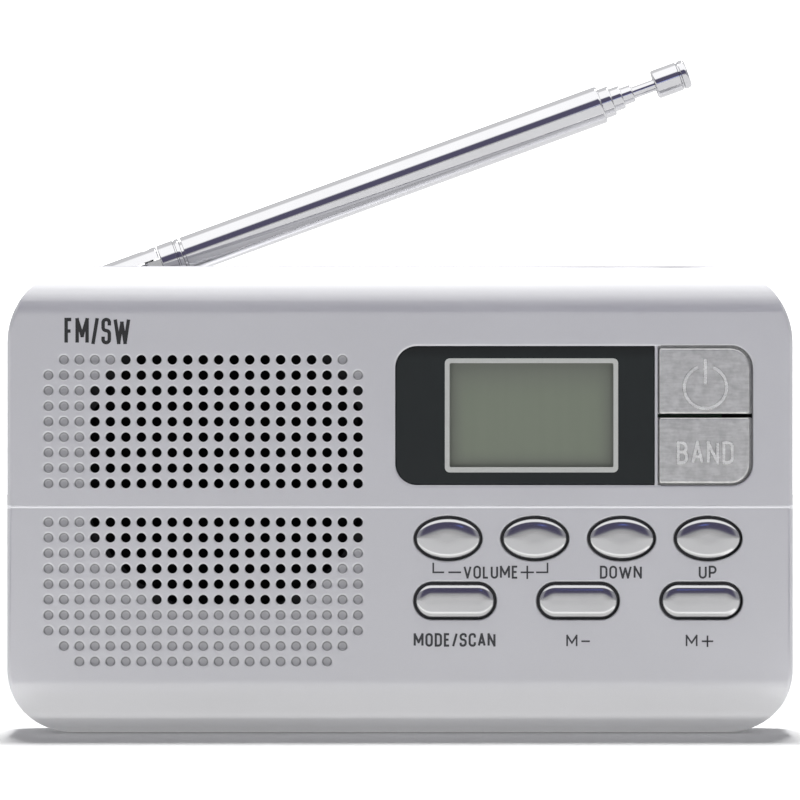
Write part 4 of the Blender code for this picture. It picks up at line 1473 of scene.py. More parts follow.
@dataclass
class PlateKeys:
    """The two flat cast keys beside the window, with a raised power symbol and the word BAND."""

    finish: Material
    raised: Material
    stem: KeyStem
    left: float = 42.85 * MM
    right: float = 57.8 * MM
    power_rows: Point2 = (53.0 * MM, 63.85 * MM)
    band_rows: Point2 = (41.5 * MM, 52.4 * MM)
    corner: float = 3.2 * MM
    face_y: float = -13.9 * MM
    bevel: float = 0.42 * MM
    symbol: Point2 = (50.5 * MM, 57.4 * MM)
    symbol_radius: float = 3.5 * MM
    symbol_line: float = 0.78 * MM
    symbol_gap: float = 42.0
    bar_half: float = 0.42 * MM
    bar_rows: Point2 = (57.9 * MM, 62.1 * MM)
    word_box: tuple[float, float, float, float] = (45.6 * MM, 55.3 * MM, 44.6 * MM, 48.6 * MM)
    word_line: float = 0.78 * MM
    raise_by: float = 0.24 * MM
    slope: float = 0.14 * MM

    def key(self, name: str, rows: Point2, upper: bool) -> Solid:
        """Builds a key, with the flange and stem behind and the bevelled face in front.

        Args:
            name: The object's name.
            rows: Its lowest and highest edge.
            upper: Whether it is the upper of the two.

        Returns:
            The key.
        """
        small, reach = 0.4 * MM, 0.6 * MM
        radii = [small, small, self.corner, small] if upper else [small, self.corner, small, small]

        def face(grow: float) -> Outline:
            """The key's outline grown by a distance."""
            low, high = (self.left - grow, rows[0] - grow), (self.right + grow, rows[1] + grow)
            return rounded(low, high, [max(r + grow, 0.12 * MM) for r in radii], 10)

        centre = ((self.left + self.right) / 2, (rows[0] + rows[1]) / 2)
        wide_low = (self.left - reach, rows[0] - (0.0 if upper else reach))
        wide_high = (self.right + reach, rows[1] + (reach if upper else 0.0))
        wide = rounded(wide_low, wide_high, small, 10)
        stem = oval((self.stem.stem, self.stem.stem), centre, 44)
        rings = [(stem, self.stem.stem_end), (stem, self.stem.flange_back), (wide, self.stem.flange_back)]
        rings += [(wide, self.stem.flange_front), (face(0.0), self.stem.flange_front)]
        depth = 0.62 * self.bevel
        rings.append((face(0.0), self.face_y + depth))
        for step in range(1, 5):
            turn = math.pi / 2 * step / 4
            shy, rise = self.bevel * (1 - math.cos(turn)), depth * (1 - math.sin(turn))
            rings.append((face(-shy), self.face_y + rise))
        return loft(name, "Y", rings)

    def power_symbol(self) -> Solid:
        """Builds an open ring with a bar through its gap, standing on the power key.

        Returns:
            The symbol as one mesh.
        """
        front, back = self.face_y - self.raise_by, self.face_y + 0.1 * MM
        start, end = 90 + self.symbol_gap / 2, 450 - self.symbol_gap / 2
        path = arc(self.symbol, self.symbol_radius, start, end, 64)
        ring = Pen(self.symbol_line, front, back, self.slope).stroke("power_symbol", path)
        bar = [(self.symbol[0], row) for row in self.bar_rows]
        return combine(ring, Pen(2 * self.bar_half, front, back, self.slope).stroke("bar", bar), Join.ADD)

    def build(self) -> None:
        """Builds and dresses the keys and what stands on them."""
        power = self.key("power_key", self.power_rows, True)
        band = self.key("band_key", self.band_rows, False)
        pen = Pen(self.word_line, self.face_y - self.raise_by, self.face_y + 0.1 * MM, self.slope)
        word = pen.write("band_word", "BAND", self.word_box, 0.05)
        dress(power, self.finish, "power_button", ["power_button"])
        dress(band, self.finish, "band_button", ["band_button"])
        dress(self.power_symbol(), self.raised, "power_button")
        dress(word, self.raised, "band_button")


# letter: width over height, and its strokes as (whether closed, (x, y, corner roundness) points)
Stroke = tuple[bool, tuple[Point3, ...]]
GLYPHS: dict[str, tuple[float, tuple[Stroke, ...]]] = {
    "A": (0.50, ((False, ((0, 0, 0), (0.5, 1, 0), (1, 0, 0))), (False, ((0.17, 0.28, 0), (0.83, 0.28, 0))))),
    "B": (
        0.46,
        (
            (True, ((0, 0, 0), (1, 0, 1), (1, 0.53, 1), (0, 0.53, 0))),
            (True, ((0, 0.53, 0), (0.94, 0.53, 1), (0.94, 1, 1), (0, 1, 0))),
        ),
    ),
    "C": (0.46, ((False, ((1, 0.7, 0), (1, 1, 1), (0, 1, 1), (0, 0, 1), (1, 0, 1), (1, 0.3, 0))),)),
    "D": (0.46, ((True, ((0, 0, 0), (1, 0, 1), (1, 1, 1), (0, 1, 0))),)),
    "E": (
        0.40,
        (
            (False, ((1, 1, 0), (0, 1, 0), (0, 0, 0), (1, 0, 0))),
            (False, ((0, 0.52, 0), (0.86, 0.52, 0))),
        ),
    ),
    "F": (0.40, ((False, ((1, 1, 0), (0, 1, 0), (0, 0, 0))), (False, ((0, 0.5, 0), (0.86, 0.5, 0))))),
    "L": (0.38, ((False, ((0, 1, 0), (0, 0, 0), (1, 0, 0))),)),
    "M": (0.62, ((False, ((0, 0, 0), (0, 1, 0), (0.5, 0.3, 0), (1, 1, 0), (1, 0, 0))),)),
    "N": (0.50, ((False, ((0, 0, 0), (0, 1, 0), (1, 0, 0), (1, 1, 0))),)),
    "O": (0.47, ((True, ((0, 0, 1), (1, 0, 1), (1, 1, 1), (0, 1, 1))),)),
    "P": (0.45, ((False, ((0, 0, 0), (0, 1, 0), (1, 1, 1), (1, 0.44, 1), (0, 0.44, 0))),)),
    "S": (
        0.45,
        (
            (
                False,
                (
                    *((1, 0.74, 0), (1, 1, 1), (0, 1, 1), (0, 0.52, 1)),
                    *((1, 0.52, 1), (1, 0, 1), (0, 0, 1), (0, 0.26, 0)),
                ),
            ),
        ),
    ),
    "U": (0.46, ((False, ((0, 1, 0), (0, 0, 1), (1, 0, 1), (1, 1, 0))),)),
    "V": (0.50, ((False, ((0, 1, 0), (0.5, 0, 0), (1, 1, 0))),)),
    "W": (0.78, ((False, ((0, 1, 0), (0.26, 0, 0), (0.5, 0.85, 0), (0.74, 0, 0), (1, 1, 0))),)),
    "/": (0.36, ((False, ((0, -0.06, 0), (1, 1.06, 0))),)),
}


def bend(points: Sequence[Point3], closed: bool, full: float, steps: int = 8) -> Outline:
    """Rounds a path's corners.

    Args:
        points: Its corners with their roundness from 0 to 1.
        closed: Whether it returns to its start.
        full: The radius of a fully round corner.
        steps: Facets per corner.

    Returns:
        The path.
    """
    path: Outline = []
    count = len(points)
    for i, (x, y, roundness) in enumerate(points):
        here = Vector((x, y))
        if roundness == 0 or (not closed and i in (0, count - 1)):
            path.append((x, y))
            continue
        back, ahead = (Vector(points[j % count][:2]) - here for j in (i - 1, i + 1))
        radius = min(full * roundness, back.length / 2, ahead.length / 2)
        centre = here + radius * (back.normalized() + ahead.normalized())
        first, last = here + radius * back.normalized() - centre, here + radius * ahead.normalized() - centre
        for step in range(steps + 1):
            turn = math.pi / 2 * step / steps
            spot = centre + first * math.cos(turn) + last * math.sin(turn)
            path.append((spot.x, spot.y))
    return path


@dataclass
class Pen:
    """Draws strokes of even width that face -Y."""

    width: float
    front: float
    back: float
    slope: float = 0.0
    shortest: float = 1e-7
    least_mitre: float = 0.65
    sharp: float = -0.2
    overlap: float = 0.4

    def stroke(self, name: str, path: Outline, closed: bool = False) -> Solid:
        """Draws one stroke, mitred at its corners and narrower in front by the slope.

        Args:
            name: The object's name.
            path: The stroke's middle line.
            closed: Whether it returns to its start.

        Returns:
            The stroke.
        """
        near = self.shortest
        path = [spot for i, spot in enumerate(path) if i == 0 or math.dist(spot, path[i - 1]) > near]
        if closed and math.dist(path[0], path[-1]) < near:
            path.pop()
        count = len(path)
        rings = []
        for i, (x, z) in enumerate(path):
            ahead = Vector(path[(i + 1) % count]) - Vector((x, z))
            back = Vector((x, z)) - Vector(path[i - 1])
            if not closed:
                ahead = back if i == count - 1 else ahead
                back = ahead if i == 0 else back
            ahead, back = ahead.normalized(), back.normalized()
            across = Vector((-ahead.y - back.y, ahead.x + back.x)).normalized()
            across *= 1 / max(self.least_mitre, abs(across.dot(Vector((-back.y, back.x)))))
            wide, narrow = self.width / 2, self.width / 2 - self.slope
            sides = ((-wide, self.back), (-narrow, self.front), (narrow, self.front), (wide, self.back))
            rings.append([(x + across.x * out, y, z + across.y * out) for out, y in sides])
        bm = bmesh.new()
        skin(bm, rings, closed)
        return closed_mesh(name, bm)

    def parted(self, path: Outline, closed: bool) -> list[Outline]:
        """Parts an open path at its sharp corners and draws the parts out a little there.

        Args:
            path: The path.
            closed: Whether it returns to its start, in which case it stays whole.

        Returns:
            The parts.
        """
        if closed:
            return [path]
        parts = [[path[0]]]
        out = self.overlap * self.width
        for before, here, after in zip(path, path[1:], path[2:]):
            back = (Vector(here) - Vector(before)).normalized()
            ahead = (Vector(after) - Vector(here)).normalized()
            if back.dot(ahead) > self.sharp:
                parts[-1].append(here)
                continue
            parts[-1].append(tuple(Vector(here) + out * back))
            parts.append([tuple(Vector(here) - out * ahead)])
        parts[-1].append(path[-1])
        return parts

    def write(self, name: str, text: str, room: Sequence[float], spacing: float = 0.11) -> Solid:
        """A word stretched to fill a box.

        Args:
            name: The object's name.
            text: What it says, in letters of GLYPHS.
            room: Left, right, low and high edge.
            spacing: The gap between letters over their height.

        Returns:
            The word as one mesh.
        """
        left, right, low, high = room
        natural = sum(GLYPHS[letter][0] for letter in text) + spacing * (len(text) - 1)
        scale = (right - left) / natural
        word: Solid | None = None
        inset = self.width / 2
        for letter in text:
            width, strokes = GLYPHS[letter]
            across, up = width * scale - self.width, high - low - self.width
            for closed, points in strokes:
                placed = [(left + inset + x * across, low + inset + y * up, r) for x, y, r in points]
                for path in self.parted(bend(placed, closed, across / 2), closed):
                    part = self.stroke(name, path, closed)
                    word = part if word is None else combine(word, part, Join.ADD)
            left += (width + spacing) * scale
        return word


# --- prints


@dataclass
class Print:
    """Dark printing on the face: the key names, their brackets and a plain mark."""

    ink: Material
    mark_ink: Material
    depth: float = 0.03 * MM
    line: float = 0.28 * MM
    # name: text, stroke width, then left, right, low and high edge
    words: tuple[tuple[str, str, float, tuple[float, float, float, float]], ...] = (
        ("volume", "VOLUME", 0.33, (10.5, 19.55, 25.75, 27.9)),
        ("tune_down", "DOWN", 0.33, (33.05, 40.0, 25.75, 27.9)),
        ("tune_up", "UP", 0.33, (49.4, 52.35, 25.75, 27.9)),
        ("mode", "MODE/SCAN", 0.37, (2.25, 15.8, 14.5, 16.75)),
        ("memory_down", "M", 0.28, (27.5, 29.35, 14.45, 16.5)),
        ("memory_up", "M", 0.28, (47.25, 49.2, 14.45, 16.5)),
    )
    # name: corners of a line in order
    lines: tuple[tuple[str, tuple[Point2, ...]], ...] = (
        ("volume_minus", ((8.0, 26.8), (10.1, 26.8))),
        ("volume_plus", ((19.95, 26.8), (22.15, 26.8))),
        ("volume_plus_up", ((21.05, 25.7), (21.05, 27.9))),
        ("left_bracket", ((5.5, 28.4), (5.5, 26.8), (7.3, 26.8))),
        ("right_bracket", ((24.4, 28.4), (24.4, 26.8), (22.5, 26.8))),
        ("memory_minus", ((30.0, 15.4), (31.4, 15.4))),
        ("memory_plus", ((49.9, 15.4), (51.8, 15.4))),
        ("memory_plus_up", ((50.85, 14.45), (50.85, 16.35))),
    )
    mark: tuple[float, float, float, float] = (-55.5, -44.6, 64.5, 68.9)
    mark_line: float = 0.58 * MM

    def build(self) -> None:
        """Builds and dresses the printing."""
        front, back = FRONT_Y - self.depth, FRONT_Y + 0.1 * MM
        made = []
        for name, text, width, edges in self.words:
            room = [edge * MM for edge in edges]
            made.append(Pen(width * MM, front, back).write(f"print_{name}", text, room))
        for name, corners in self.lines:
            path = [(x * MM, z * MM) for x, z in corners]
            made.append(Pen(self.line, front, back).stroke(f"print_{name}", path))
        for obj in made:
            dress(obj, self.ink, "case")
        room = [edge * MM for edge in self.mark]
        mark = Pen(self.mark_line, front, back).write("print_mark", "FM/SW", room)
        dress(mark, self.mark_ink, "case")


# --- aerial


@dataclass
class Aerial:
    """The folded telescopic aerial: swivel screw, knuckle, elbow, four tubes, rod and cap."""

    plated: Material
    steel: Material
    pivot: Point3 = (-51.3 * MM, 10.0 * MM, 74.1 * MM)
    tilt: float = 20.0
    radius: float = 3.2 * MM
    elbow_at: float = 10.0 * MM
    knuckle_end: float = 11.8 * MM
    tab: Point2 = (-2.7 * MM, 1.0 * MM)
    tab_end: float = 4.2 * MM
    fork_from: float = 6.3 * MM
    fork_reach: float = 1.8 * MM
    slot_half: float = 1.2 * MM
    tongue_half: float = 0.95 * MM
    ferrule: Point2 = (12.0 * MM, 15.8 * MM)
    swivel_hole: float = 1.4 * MM
    pin_hole: float = 0.9 * MM
    pin: float = 0.8 * MM
    sharp: float = 0.01 * MM
    # node: outer radius, bore radius, lower end, upper end, body
    tubes: tuple[tuple[str, float, float, float, float, str], ...] = (
        ("antenna_tube_1", 3.2, 2.75, 16.2, 90.8, "antenna_elbow"),
        ("antenna_tube_2", 2.55, 2.2, 20.5, 92.7, "antenna_stage_2"),
        ("antenna_tube_3", 2.0, 1.7, 21.0, 94.5, "antenna_stage_3"),
        ("antenna_tube_4", 1.5, 1.2, 21.5, 96.4, "antenna_stage_4"),
    )
    rod: Point3 = (1.0 * MM, 22.0 * MM, 103.0 * MM)
    cap: Point3 = (2.45 * MM, 100.3 * MM, 106.2 * MM)
    sides: int = 96

    def put(self, obj: Solid, finish: Material, body: str, node: str) -> None:
        """Turns a piece from the aerial's own axes into the case's, and dresses it.

        Args:
            obj: The piece.
            finish: Its material.
            body: The body it rides on.
            node: The CAD node it stands for.
        """
        turn = Matrix.Rotation(math.radians(90.0 - self.tilt), 4, "Y")
        obj.data.transform(Matrix.Translation(Vector(self.pivot)) @ turn)
        dress(obj, finish, body, [node])

    def knuckle(self) -> Solid:
        """Builds a round bar with a flat tab at the swivel and a fork at the elbow.

        Returns:
            The knuckle.
        """
        far, reach, sharp, beyond = 2 * self.radius, self.radius, self.sharp, self.knuckle_end + 2 * MM
        profile = [(reach, -reach), *lip(reach, self.knuckle_end, 0.25 * MM, 1)]
        bar = turned("aerial_knuckle", "Z", profile, sides=self.sides)
        end = rounded((-reach, -reach), (reach, beyond), [reach, reach, sharp, sharp], 24)
        combine(bar, prism("round_end", "Y", end, -far, far), Join.SHARE)
        combine(bar, block("tab_front", (-far, -far, -far), (far, self.tab[0], self.tab_end)))
        combine(bar, block("tab_back", (-far, self.tab[1], -far), (far, far, self.tab_end)))
        combine(bar, turned("swivel_hole", "Y", [(self.swivel_hole, -far), (self.swivel_hole, far)]))
        slot_from = self.elbow_at - self.fork_reach - 0.5 * MM
        combine(bar, block("fork", (-self.slot_half, -far, slot_from), (self.slot_half, far, beyond)))
        back = self.fork_reach
        side = rounded((-far, self.fork_from), (back, self.knuckle_end), [sharp, sharp, back, sharp], 12)
        keep = prism("fork_side", "X", side, -far, far)
        combine(keep, block("bar_room", (-far, -far, -far), (far, far, self.fork_from)), Join.ADD)
        combine(bar, keep, Join.SHARE)
        hole = [(self.pin_hole, -far), (self.pin_hole, far)]
        return combine(bar, turned("pin_hole", "X", hole, (0.0, self.elbow_at), 32))

    def elbow(self) -> Solid:
        """Builds the ferrule with its tongue, an edge groove and the spigot inside the first tube.

        Returns:
            The elbow.
        """
        low, high, ease = *self.ferrule, 0.22 * MM
        groove, depth = high - 0.9 * MM, 0.16 * MM
        profile = [
            *lip(self.radius, low, ease, -1),
            (self.radius, groove - 0.2 * MM),
            (self.radius - depth, groove - 0.1 * MM),
            (self.radius - depth, groove + 0.1 * MM),
            (self.radius, groove + 0.2 * MM),
            *lip(self.radius, high, ease, 1),
            (2.5 * MM, high),
            (2.5 * MM, high + 4.2 * MM),
        ]
        piece = turned("aerial_elbow", "Z", profile, sides=self.sides)
        reach = self.fork_reach
        low_corner, high_corner = (-reach, self.elbow_at - reach), (reach, low + 1.0 * MM)
        tongue = rounded(low_corner, high_corner, [reach, reach, self.sharp, self.sharp], 16)
        combine(piece, prism("tongue", "X", tongue, -self.tongue_half, self.tongue_half), Join.ADD)
        hole = [(self.pin_hole, -2 * MM), (self.pin_hole, 2 * MM)]
        return combine(piece, turned("pin_hole", "X", hole, (0.0, self.elbow_at), 32))

    def tube(self, name: str, outer: float, bore: float, low: float, high: float) -> Solid:
        """A drawn tube whose mouth is rolled in towards the next one.

        Args:
            name: The object's name.
            outer: Outer radius.
            bore: Bore radius.
            low: Lower end along the axis.
            high: Upper end along the axis.

        Returns:
            The tube.
        """
        ease, edge = min(0.42 * MM, 0.9 * (outer - bore)), 0.1 * MM
        foot = [(bore, low), (outer - edge, low), (outer, low + edge)]
        mouth = [point for point in lip(outer, high, ease, 1, 6) if point[0] > bore]
        return turned(name, "Z", [*foot, *mouth, (bore, high - 0.05 * MM)], sides=self.sides, closed=True)

    def tip(self) -> None:
        """Builds and dresses the rod and its turned cap."""
        radius, low, high = self.rod
        rod = turned("aerial_rod", "Z", [(radius, low), (radius, high)], sides=48)
        across, start, end = self.cap
        socket, ease, neck = radius + 0.15 * MM, 0.5 * MM, 0.25 * MM
        profile = [
            (socket, high + 0.2 * MM),
            (socket, start),
            *lip(across, start, 0.3 * MM, -1),
            (across, end - 1.6 * MM),
            (across - neck, end - 1.45 * MM),
            (across - neck, end - 1.25 * MM),
            (across, end - 1.1 * MM),
            *lip(across, end, ease, 1, 8),
            (0.6 * across, end),
            (0.2 * across, end),
        ]
        cap = turned("aerial_cap", "Z", profile, sides=self.sides)
        self.put(rod, self.plated, "antenna_tip", "antenna_rod")
        self.put(cap, self.plated, "antenna_tip", "antenna_cap")

    def swivel(self) -> None:
        """Builds and dresses the slotted screw and the spring washer, which stay with the case."""
        x, y, z = self.pivot
        back, front, play = y + self.tab[1], y + self.tab[0], 0.15 * MM
        head, shank, slot = 2.5 * MM, 1.2 * MM, 0.35 * MM
        profile = [(shank, 2.6 * MM), (shank, back + play), (head, back + play)]
        profile += lip(head, back + 1.6 * MM, 0.5 * MM, 1, 6)
        screw = turned("swivel_screw", "Y", profile, (x, z), 64)
        low = (x - 4 * MM, back + 1.05 * MM, z - slot)
        combine(screw, block("slot", low, (x + 4 * MM, back + 3 * MM, z + slot)))
        rim, hole, step = 2.8 * MM, self.swivel_hole, 6.3 * MM + play
        ring = [(rim, step), (rim, front - play), (hole, front - play), (hole, step)]
        washer = turned("swivel_washer", "Y", ring, (x, z), 64, True)
        dress(screw, self.plated, "case", ["antenna_pivot_screw"])
        dress(washer, self.steel, "case", ["antenna_spring_washer"])

    def build(self) -> None:
        """Builds and dresses the whole aerial."""
        self.swivel()
        self.put(self.knuckle(), self.plated, "antenna_knuckle", "antenna_knuckle")
        end, ease = 2.9 * MM, 0.15 * MM
        pin = [*lip(self.pin, -end, ease, -1, 2), *lip(self.pin, end, ease, 1, 2)]
        rivet = turned("aerial_rivet", "X", pin, (0.0, self.elbow_at), 32)
        self.put(rivet, self.steel, "antenna_knuckle", "antenna_elbow_pin")
        self.put(self.elbow(), self.plated, "antenna_elbow", "antenna_elbow")
        for node, outer, bore, low, high, body in self.tubes:
            tube = self.tube(node.replace("antenna", "aerial"), outer * MM, bore * MM, low * MM, high * MM)
            self.put(tube, self.plated, body, node)
        self.tip()


# --- fixings, sockets and cells


@dataclass
class CaseScrews:
    """The four cross-head screws in the recesses of the back."""

    repeater: Repeater
    finish: Material
    head_y: float = 4.8 * MM
    head: float = 2.3 * MM
    head_height: float = 1.7 * MM
    shank: float = 1.2 * MM
    tip_y: float = -5.5 * MM

    def build(self) -> None:
        """Builds one screw, spreads it over the four places and dresses the result."""
        crown = self.head_y + self.head_height
        profile = [(self.shank, self.tip_y), (self.shank, self.head_y), (self.head, self.head_y)]
        screw = turned("screw", "Y", [*profile, *lip(self.head, crown, 0.6 * MM, 1, 5)], sides=48)
        for across, up in ((1.3 * MM, 0.3 * MM), (0.3 * MM, 1.3 * MM)):
            combine(screw, block("cross", (-across, crown - 0.8 * MM, -up), (across, crown + 1 * MM, up)))
        places = [(x, 0.0, z) for x, z in SCREWS]
        row = self.repeater.spread("case_screws", screw, places, self.finish)
        nodes = [f"case_screw_{number}" for number in range(1, 5)]
        dress(row, self.finish, "case", nodes)


@dataclass
class Sockets:
    """The earphone and supply sockets in the right side."""

    plastic: Material
    metal: Material
    edge: float = 64.7 * MM
    body_end: float = 62.7 * MM
    body_half: float = 2.7 * MM
    bottom: float = 53.5 * MM
    ease: float = 0.25 * MM
    # node: half height, collar radius, bore radius
    kinds: tuple[tuple[str, float, float, float], ...] = (
        ("earphone_socket", 3.0 * MM, 2.4 * MM, 1.8 * MM),
        ("power_socket", 3.1 * MM, 2.7 * MM, 2.2 * MM),
    )
    liner: tuple[Point2, Point2] = ((1.5 * MM, 1.75 * MM), (55.0 * MM, 63.2 * MM))
    pin: Point3 = (0.55 * MM, 53.6 * MM, 62.6 * MM)

    def socket(self, node: str, z: float, half: float, collar: float, bore: float) -> Solid:
        """Builds a socket.

        Args:
            node: The CAD node it stands for.
            z: Its height.
            half: Half the height of its body.
            collar: Its collar's radius.
            bore: Its bore's radius.

        Returns:
            The socket.
        """
        low = (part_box(node)[0].x, SOCKET_Y - self.body_half, z - half)
        high = (self.body_end, SOCKET_Y + self.body_half, z + half)
        socket = block(node.replace("_socket", "_jack"), low, high)
        edge, mouth = self.edge, bore + self.ease
        ring = [(collar, self.body_end - 1 * MM), *lip(collar, edge, 0.2 * MM, 1)]
        combine(socket, turned("collar", "X", ring, (SOCKET_Y, z), 64), Join.ADD)
        hole = [(bore, self.bottom), (bore, edge - self.ease), (mouth, edge), (mouth, edge + 1 * MM)]
        return combine(socket, turned("bore", "X", hole, (SOCKET_Y, z), 64))

    def build(self) -> None:
        """Builds and dresses both sockets, the liner of one and the pin of the other."""
        heights = [z for _, z in SOCKET_HOLES]
        for (node, *sizes), z in zip(self.kinds, heights):
            dress(self.socket(node, z, *sizes), self.plastic, "case", [node])
        (inner, outer), (low, high) = self.liner
        ring = [(outer, low), (outer, high), (inner, high), (inner, low)]
        liner = turned("earphone_liner", "X", ring, (SOCKET_Y, heights[0]), 48, True)
        dress(liner, self.metal, "case")
        radius, low, high = self.pin
        tip = [(radius, low), *lip(radius, high, self.ease, 1)]
        pin = turned("supply_pin", "X", tip, (SOCKET_Y, heights[1]), 32)
        dress(pin, self.metal, "case")


@dataclass
class Cells:
    """The two cells behind the door with their springs."""

    wraps: Sequence[Material]
    metal: Material
    radius: float = 7.25 * MM
    wire: float = 0.35 * MM
    turns: float = 3.5
    spring_foot: float = 4.2 * MM
    spring_taper: float = 1.8 * MM
    bay_middle: float = 24.5 * MM
    steps: int = 96
    sides: int = 10

    def cell(self, node: str, heading: int) -> list[Solid]:
        """A cell's wrapped body and its bare terminals.

        Args:
            node: The CAD node that it stands for.
            heading: 1 where the nub faces +X, -1 where it faces -X.

        Returns:
            The sleeve and the metal.
        """
        low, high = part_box(node)
        centre = ((low.y + high.y) / 2, (low.z + high.z) / 2)
        foot, nub = (low.x, high.x) if heading > 0 else (high.x, low.x)

        def at(distance: float) -> float:
            """The place along X at a distance from the flat end."""
            return foot + heading * distance

        length = abs(nub - foot)
        shoulder = length - 1.3 * MM
        r = self.radius
        sleeve = [(r - 1.1 * MM, 0.0), (r - 0.35 * MM, 0.0), (r - 0.1 * MM, 0.1 * MM), (r, 0.35 * MM)]
        sleeve += [(r, shoulder - 0.35 * MM), (r - 0.1 * MM, shoulder - 0.1 * MM), (r - 0.35 * MM, shoulder)]
        sleeve += [(r - 1.6 * MM, shoulder)]
        body = turned(f"cell_sleeve_{node}", "X", [(a, at(b)) for a, b in sleeve], centre, 80)
        cap = [(2.7 * MM, shoulder + 0.02 * MM), (2.7 * MM, length - 0.3 * MM)]
        cap += [(2.4 * MM, length), (0.4 * MM, length)]
        top = turned(f"cell_nub_{node}", "X", [(a, at(b)) for a, b in cap], centre, 48)
        return [body, top]

    def spring(self, node: str) -> Solid:
        """Builds the conical spring of one cell, its wide foot on the bay's wall.

        Args:
            node: The CAD node that it stands for.

        Returns:
            The spring.
        """
        low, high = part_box(node)
        centre = ((low.y + high.y) / 2, (low.z + high.z) / 2)
        heading = 1 if (low.x + high.x) / 2 < self.bay_middle else -1
        foot = low.x + self.wire if heading > 0 else high.x - self.wire
        tip = high.x - self.wire if heading > 0 else low.x + self.wire
        rings = []
        for step in range(self.steps + 1):
            share = step / self.steps
            angle = 2 * math.pi * self.turns * share
            radius = self.spring_foot - self.spring_taper * share
            ring = []
            for side in range(self.sides):
                turn = 2 * math.pi * side / self.sides
                out = radius + self.wire * math.cos(turn)
                along = foot + (tip - foot) * share + self.wire * math.sin(turn)
                ring.append((along, centre[0] + out * math.cos(angle), centre[1] + out * math.sin(angle)))
            rings.append(ring)
        bm = bmesh.new()
        skin(bm, rings)
        return closed_mesh(f"coil_{node}", bm)

    def build(self) -> None:
        """Builds and dresses cells and springs."""
        for row, heading, wrap in (("lower", -1, self.wraps[0]), ("upper", 1, self.wraps[1])):
            body, top = self.cell(f"battery_{row}", heading)
            dress(body, wrap, "case", [f"battery_{row}"])
            dress(top, self.metal, "case")
            spring = self.spring(f"battery_spring_{row}")
            dress(spring, self.metal, "case", [f"battery_spring_{row}"], 60.0)


@dataclass
class Internals:
    """The CAD pieces that stay as they are and only take finished materials."""

    finishes: dict[str, Material]

    def build(self) -> None:
        """Gives each kept node the material that its name asks for."""
        nodes = frame["nodes"]
        for name, node in nodes.items():
            if node.hide_render:
                continue
            kind = next((key for key in self.finishes if key in name), "switch")
            node.data.materials.clear()
            node.data.materials.append(self.finishes[kind])
            LOG.info("%s keeps its shape and takes %s", name, self.finishes[kind].name)


# --- stage


@dataclass
class Sky:
    """Surroundings: white overhead, a blue-violet band over eye level, pale grey below and behind.

    A band is a pair of shares of the view's own axis, between which one colour becomes the next.
    """

    overhead: Colour = (255, 255, 255)
    band: Colour = (80, 77, 99)
    beside: Colour = (150, 150, 156)
    eye_level: Colour = (177, 177, 177)
    behind: Colour = (199, 199, 200)
    far_behind: Colour = (146, 146, 148)
    soft_fill: Colour = (106, 106, 108)
    band_low: Point2 = (0.035, 0.105)
    band_high: Point2 = (0.53, 0.66)
    side_band: Point2 = (0.10, 0.42)
    behind_band: Point2 = (0.12, 0.4)
    far_band: Point2 = (0.76, 0.96)
    strength: float = 1.7

    def build(self) -> None:
        """Makes the world; the camera itself sees plain white, and diffuse light is even."""
        world = bpy.data.worlds.new("surroundings")
        bpy.context.scene.world = world
        world.use_nodes = True
        graph = Graph.of(world.node_tree)
        ground = world.node_tree.nodes["Background"]
        x, y, z = (graph.axis(name) for name in "XYZ")
        band = graph.mix((x * x).ramp(*self.side_band), srgb(self.band), srgb(self.beside))
        colour = graph.mix(z.ramp(*self.band_low), srgb(self.eye_level), band)
        colour = graph.mix(z.ramp(*self.band_high), colour, srgb(self.overhead))
        colour = graph.mix(y.ramp(*self.behind_band), colour, srgb(self.behind))
        colour = graph.mix(y.ramp(*self.far_band), colour, srgb(self.far_behind))
        diffuse = graph.node("ShaderNodeLightPath", output="Is Diffuse Ray")
        colour = graph.mix(diffuse, colour, srgb(self.soft_fill))
        seen = graph.node("ShaderNodeLightPath", output="Is Camera Ray")
        graph.feed(ground.inputs["Color"], graph.mix(seen, colour, (1.0, 1.0, 1.0, 1.0)))
        ground.inputs["Strength"].default_value = self.strength


@dataclass(frozen=True)
class SoftLight:
    """An area light that the camera doesn't see; its radiance is a linear value for each channel."""

    name: str
    place: Point3
    aim: Point3
    size: Point2
    radiance: Colour
    on_matt: bool = True

    def build(self) -> None:
        """Adds the light."""
        data = bpy.data.lights.new(self.name, "AREA")
        data.shape = "RECTANGLE"
        data.size, data.size_y = self.size
        peak = max(self.radiance)
        data.color = tuple(channel / peak for channel in self.radiance)
        data.energy = math.pi * self.size[0] * self.size[1] * peak
        lamp = new_object(self.name, data)
        lamp.location = self.place
        lamp.rotation_euler = (Vector(self.aim) - Vector(self.place)).to_track_quat("-Z", "Y").to_euler()
        lamp.visible_camera = False
        lamp.visible_diffuse = self.on_matt


